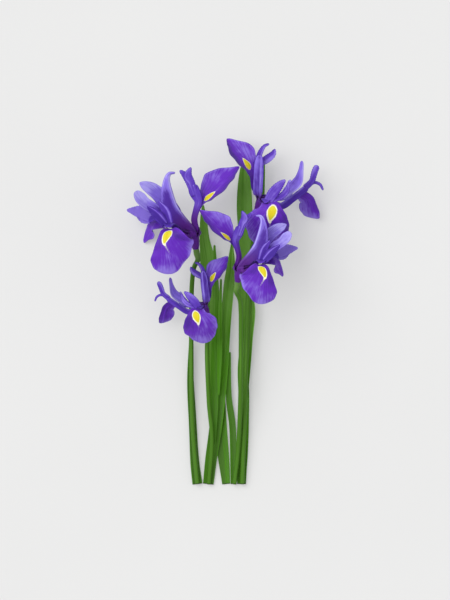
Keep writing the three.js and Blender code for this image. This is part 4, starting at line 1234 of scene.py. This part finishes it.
def stamen_skins(bloom, k, petals):
    """A stamen: a thin filament and its two-celled anther, between a style arm and the fall below it.

    Both curves are taken at the same distances from their roots, every 3 mm up to 0.85 of the arm, and the
    stamen runs at 0.45 of the way from the fall to the arm. The anther's section is 0.72 + 0.28 |cos a|
    times its radius, pinched between its two cells.
    """
    mm = bloom.mm
    arm = smooth_path(bloom.petal(bloom.spokes[k], ARM_ROOT, bloom.kind["arms"][k]), 60)
    fall = smooth_path(bloom.petal(bloom.spokes[k], FALL_ROOT, bloom.kind["falls"][k]), 120)
    reach = np.arange(9, 28, 3) * mm
    reach = reach[reach < arm[1][-1] * 0.85]
    lines = [
        np.stack([np.interp(reach, distance, path[:, axis]) for axis in range(3)], axis=1)
        for path, distance in (arm, fall)
    ]
    middle = 0.45 * lines[0] + 0.55 * lines[1]
    split = len(middle) - 3
    thread = np.column_stack([middle[: split + 1], np.full(split + 1, 0.35 * mm)])
    anther = np.column_stack([middle[split:], np.array([0.45, 0.95, 0.5]) * mm])

    def round_section(distance, angle):
        return 1

    def two_cells(distance, angle):
        return 0.72 + 0.28 * abs(np.cos(angle))

    def fields(along, angle):
        return {"fan": angle, "beyond": along}

    return (
        stalk(thread, petals.grain, 8, round_section, fields),
        stalk(anther, petals.grain * 0.6, 14, two_cells, fields),
    )


def tube_skin(bloom):
    """The perianth tube: a fluted funnel from the ovary to the petals, open at its mouth.

    Its outline runs up the outside, over the lip and down the bore. The radius is fluted by 4 percent of
    cos(6a), and the lip rises towards the three falls by 0.7 cos(3a) mm.
    """
    mouth = TUBE_RADIUS - 0.1
    outline = np.array([
        (2.2, -0.4), (3, -0.1), (3.5, 1.2), (4, 3.5), (4.35, 6), (4.5, 9),
        (mouth, TUBE_LENGTH - 1.5), (mouth, TUBE_LENGTH), (mouth - 0.3, TUBE_LENGTH + 0.5),
        (mouth - 0.8, TUBE_LENGTH + 0.3), (3.3, 12), (3.1, 9), (2.9, 6), (2.4, 4.6), (1.2, 4.2),
    ])
    steps = np.linspace(0, len(outline) - 1, 6 * len(outline))
    radius, height = (np.interp(steps, np.arange(len(outline)), column)[:, None] for column in outline.T)
    angle = np.linspace(0, 2 * math.pi, 72, endpoint=False)[None, :]
    first = bloom.spokes[0]
    second = np.cross(bloom.axis, first)
    flute = 1 + 0.04 * np.cos(6 * angle) * smooth(height, 0, 4)
    rise = 0.7 * np.cos(3 * angle) * smooth(height, 9, 13)
    spoke = first * np.cos(angle)[..., None] + second * np.sin(angle)[..., None]
    rings = bloom.foot + bloom.mm * (
        spoke * (radius * flute)[..., None] + bloom.axis * (height + rise)[..., None]
    )
    no_signal = {"inside": -1, "border": -1}
    values = {"rim": NO_RIM, "fan": angle * 3 / math.pi, "beyond": height, "root": height, **no_signal}
    return loft(rings, spread_over(rings, values))


def column_skin(bloom, petals):
    """The style column: a rod up the tube to where the arms part, three-angled by 3 percent of cos(3a)."""
    heights = np.array([3.6, 6, 9, TUBE_LENGTH]) * bloom.mm
    radii = np.array([1, 1, 0.95, 0.8]) * STYLE_RADIUS * bloom.mm
    rows = np.column_stack([bloom.foot + bloom.axis * heights[:, None], radii])

    def section(distance, angle):
        return 1 + 0.03 * np.cos(3 * angle)

    def fields(along, angle):
        return {"fan": angle, "beyond": along, "root": along}

    return stalk(rows, petals.grain, 24, section, fields)


def stem_skin(bloom, greens):
    """A stem with its ovary: round, with six faint ribs, and three-angled where it swells under the tube.

    The ribs are 1.2 percent of cos(6a), and the thickness wavers by 1 percent of sin(distance / 9 mm). The
    ovary's section is 0.97 + 0.05 cos(3a) + 0.02 cos(6a) times its radius.
    """
    thickness = STEM_RADIUS * math.sqrt(bloom.scale) * MM
    rows = [(*np.array(point) * MM, thickness) for point in STEMS[bloom.name]]
    for below, radius in ((12, STEM_RADIUS * 1.1), (5, OVARY_RADIUS), (0.3, OVARY_RADIUS * 0.95)):
        rows.append((*(bloom.foot - bloom.axis * below * bloom.mm), radius * bloom.mm))
    rows = np.array(rows)
    ovary = path_length(rows) - 13 * bloom.mm

    def section(distance, angle):
        swell = smooth(distance, ovary, ovary + 5 * MM)
        plain = 1 + 0.012 * np.cos(6 * angle) + 0.01 * np.sin(distance / (9 * MM))
        return plain * (1 - swell) + swell * (0.97 + 0.05 * np.cos(3 * angle) + 0.02 * np.cos(6 * angle))

    def fields(along, angle):
        bud = smooth(along, ovary / MM - 1, ovary / MM + 5)
        across = angle * STEM_RADIUS
        return {"fan": angle / math.pi, "beyond": across, "root": along, "bud": bud, "from_cut": along}

    return stalk(rows, greens.grain, 36, section, fields, dish=0.3 * MM)


def leaf_skin(name, greens):
    """A leaf: channelled above, keeled below, with its rims a little waved. Its green is painted paler
    upwards, painted light that lifts the shade which the blooms cast on its upper part.

    The rims wave as the share squared times sin(2 pi along / 61 mm). Each leaf has its own place across the
    stripes of the finish.
    """
    rows = np.array(LEAVES[name]) * MM
    cup = BROAD_LEAF_CUP if name == "leaf_1" else LEAF_CUP
    rows = np.column_stack([rows, rows[:, 3], np.tile((cup, 0, 0, 1), (len(rows), 1))])
    blade = Blade(rows, greens.grain, least=10)
    number = int(name[-1])
    wave = blade.waves(61 * MM, number, 1.2) * smooth(blade.width, 2 * MM, 6 * MM)
    channel = 0.15 * MM * blade.middle_line(1.3 * MM)
    blade.raise_by(0.25 * MM * blade.share**2 * wave - channel)
    # Painted light: lighter upwards against the shade of the blooms over the leaves, and darker low down
    # where they lie in full light.
    painted_light_upwards = smooth(blade.points[..., 1], -90 * MM, 30 * MM)
    along = blade.along / MM
    fields = {
        "patch": patches(blade, LEAF_TONES[name], 1) + 0.9 * painted_light_upwards - 0.5,
        "rim": blade.rim / MM,
        "fan": blade.share,
        "beyond": blade.across / MM + STRIPE_STEP * number,
        "root": along,
        "from_cut": along if rows[0, 1] < CUT_LEVEL * MM else np.full(along.shape, NO_CUT),
    }
    return blade.skin(greens.thickness, greens.keel, 0.9 * MM, fields)


# ---------------------------------------------------------------------------------------------
# Operators, in the order in which they run.
# ---------------------------------------------------------------------------------------------

# How far the floor reaches to each side, in metres.
FLOOR_REACH = 20
# The soft light comes from the left by its slope, and from the top of the picture by this share of that.
SUN_LEAN = 0.55


def shades(settings, part):
    """A part's dark, middle and light colour."""
    return [tuple(getattr(settings, part + shade)) for shade in ("_dark", "", "_light")]


class IRISES_OT_stage(bpy.types.Operator):
    """Lays the pale floor, and sets the soft light and the camera that looks straight down"""

    bl_idname = "irises.stage"
    bl_label = "Stage"

    def execute(self, context):
        stage = context.scene.iris_stage
        scene = context.scene
        scene.view_settings.view_transform = "Standard"
        mesh = bpy.data.meshes.new("floor")
        corners = [(x * FLOOR_REACH, y * FLOOR_REACH, 0) for x, y in ((-1, -1), (1, -1), (1, 1), (-1, 1))]
        mesh.from_pydata(corners, [], [(0, 1, 2, 3)])
        mesh.materials.append(floor_finish(tuple(stage.floor)))
        floor = bpy.data.objects.new("floor", mesh)
        scene.collection.objects.link(floor)

        world = bpy.data.worlds.new("pale_room")
        world.use_nodes = True
        world.node_tree.nodes["Background"].inputs["Color"].default_value = (*stage.sky, 1)
        scene.world = world
        sun = bpy.data.lights.new("soft_light", "SUN")
        sun.energy = stage.sun_strength
        sun.angle = stage.sun_size
        lamp = bpy.data.objects.new("soft_light", sun)
        lamp.rotation_euler = (-SUN_LEAN * stage.sun_slope, -stage.sun_slope, 0)
        scene.collection.objects.link(lamp)

        lens = bpy.data.cameras.new("camera")
        lens.lens = stage.lens
        lens.sensor_width = 36
        lens.clip_end = 100
        camera = bpy.data.objects.new("camera", lens)
        camera.location = (0, stage.camera_up, stage.camera_height)
        scene.collection.objects.link(camera)
        scene.camera = camera
        return {"FINISHED"}


class IRISES_OT_falls(bpy.types.Operator):
    """Grows the three falls of each bloom and the tube that they leave"""

    bl_idname = "irises.falls"
    bl_label = "Falls and tubes"

    def execute(self, context):
        petals = context.scene.iris_petals
        finish = petal_finish("fall_skin", *shades(petals, "fall"), petals, signal=True)
        for bloom in BLOOMS:
            node = f"{bloom.name}_falls"
            for k in range(3):
                add_piece(f"{bloom.name}_fall_{k + 1}", fall_skin(bloom, k, petals), finish, "falls", node)
            add_piece(f"{bloom.name}_tube", tube_skin(bloom), finish, "falls", node)
        return {"FINISHED"}


class IRISES_OT_standards(bpy.types.Operator):
    """Grows the three standards of each bloom"""

    bl_idname = "irises.standards"
    bl_label = "Standards"

    def execute(self, context):
        petals = context.scene.iris_petals
        finish = petal_finish("standard_skin", *shades(petals, "standard"), petals)
        for bloom in BLOOMS:
            node = f"{bloom.name}_standards"
            for k in range(3):
                skin = standard_skin(bloom, k, petals)
                add_piece(f"{bloom.name}_standard_{k + 1}", skin, finish, "standards", node)
        return {"FINISHED"}


class IRISES_OT_styles(bpy.types.Operator):
    """Grows the style column of each bloom and its three arms, with their crests and stigmas"""

    bl_idname = "irises.styles"
    bl_label = "Style arms"

    def execute(self, context):
        petals = context.scene.iris_petals
        finish = petal_finish("style_skin", *shades(petals, "style"), petals)
        for bloom in BLOOMS:
            node = f"{bloom.name}_styles"
            for k in range(3):
                skin = joined(arm_skins(bloom, k, petals))
                add_piece(f"{bloom.name}_style_{k + 1}", skin, finish, "style_arms", node)
            add_piece(f"{bloom.name}_column", column_skin(bloom, petals), finish, "style_arms", node)
        return {"FINISHED"}


class IRISES_OT_stamens(bpy.types.Operator):
    """Grows the stamen under each style arm"""

    bl_idname = "irises.stamens"
    bl_label = "Stamens"

    def execute(self, context):
        petals = context.scene.iris_petals
        pale = tuple(petals.pollen)
        violet = tuple(petals.style_light)
        pollen = petal_finish("anther_skin", tuple(0.7 * value for value in pale), pale, pale, petals)
        filament = petal_finish("filament_skin", violet, violet, pale, petals)
        for bloom in BLOOMS:
            node = f"{bloom.name}_styles"
            for k in range(3):
                thread, anther = stamen_skins(bloom, k, petals)
                add_piece(f"{bloom.name}_filament_{k + 1}", thread, filament, "style_arms", node)
                add_piece(f"{bloom.name}_anther_{k + 1}", anther, pollen, "style_arms", node)
        return {"FINISHED"}


class IRISES_OT_stems(bpy.types.Operator):
    """Grows the stems with their ovaries"""

    bl_idname = "irises.stems"
    bl_label = "Stems"

    def execute(self, context):
        greens = context.scene.iris_greens
        dark, _, light = shades(greens, "leaf")
        finish = green_finish("stem_skin", dark, tuple(greens.stem), light, greens, 6.0)
        for bloom in BLOOMS:
            skin = stem_skin(bloom, greens)
            node = f"{bloom.name}_stem"
            add_piece(f"{bloom.name}_stalk", skin, finish, "stems", node, sharp=math.radians(50))
        return {"FINISHED"}


class IRISES_OT_leaves(bpy.types.Operator):
    """Grows the nine leaves"""

    bl_idname = "irises.leaves"
    bl_label = "Leaves"

    def execute(self, context):
        greens = context.scene.iris_greens
        finish = green_finish("leaf_skin", *shades(greens, "leaf"), greens, 13.0)
        for name in LEAVES:
            skin = leaf_skin(name, greens)
            add_piece(name.replace("leaf", "blade"), skin, finish, "leaves", name, sharp=math.radians(60))
        return {"FINISHED"}


class VIEW3D_PT_irises(bpy.types.Panel):
    """Lists the steps that grow the bunch."""

    bl_label = "Irises"
    bl_space_type = "VIEW_3D"
    bl_region_type = "UI"
    bl_category = "Irises"

    def draw(self, context):
        for step in STEPS:
            self.layout.operator(step.bl_idname)


STEPS = (
    IRISES_OT_stage,
    IRISES_OT_falls,
    IRISES_OT_standards,
    IRISES_OT_styles,
    IRISES_OT_stamens,
    IRISES_OT_stems,
    IRISES_OT_leaves,
)
GROUPS = {
    "iris_petals": IrisPetalSettings,
    "iris_greens": IrisGreenSettings,
    "iris_stage": IrisStageSettings,
}


def register():
    for group in (*GROUPS.values(), *STEPS, VIEW3D_PT_irises):
        bpy.utils.register_class(group)
    for name, group in GROUPS.items():
        setattr(bpy.types.Scene, name, bpy.props.PointerProperty(type=group))


def unregister():
    for name in GROUPS:
        delattr(bpy.types.Scene, name)
    for group in (VIEW3D_PT_irises, *reversed(STEPS), *GROUPS.values()):
        bpy.utils.unregister_class(group)


def main():
    register()
    for step in STEPS:
        family, name = step.bl_idname.split(".")
        getattr(getattr(bpy.ops, family), name)()


if __name__ == "__main__":
    main()
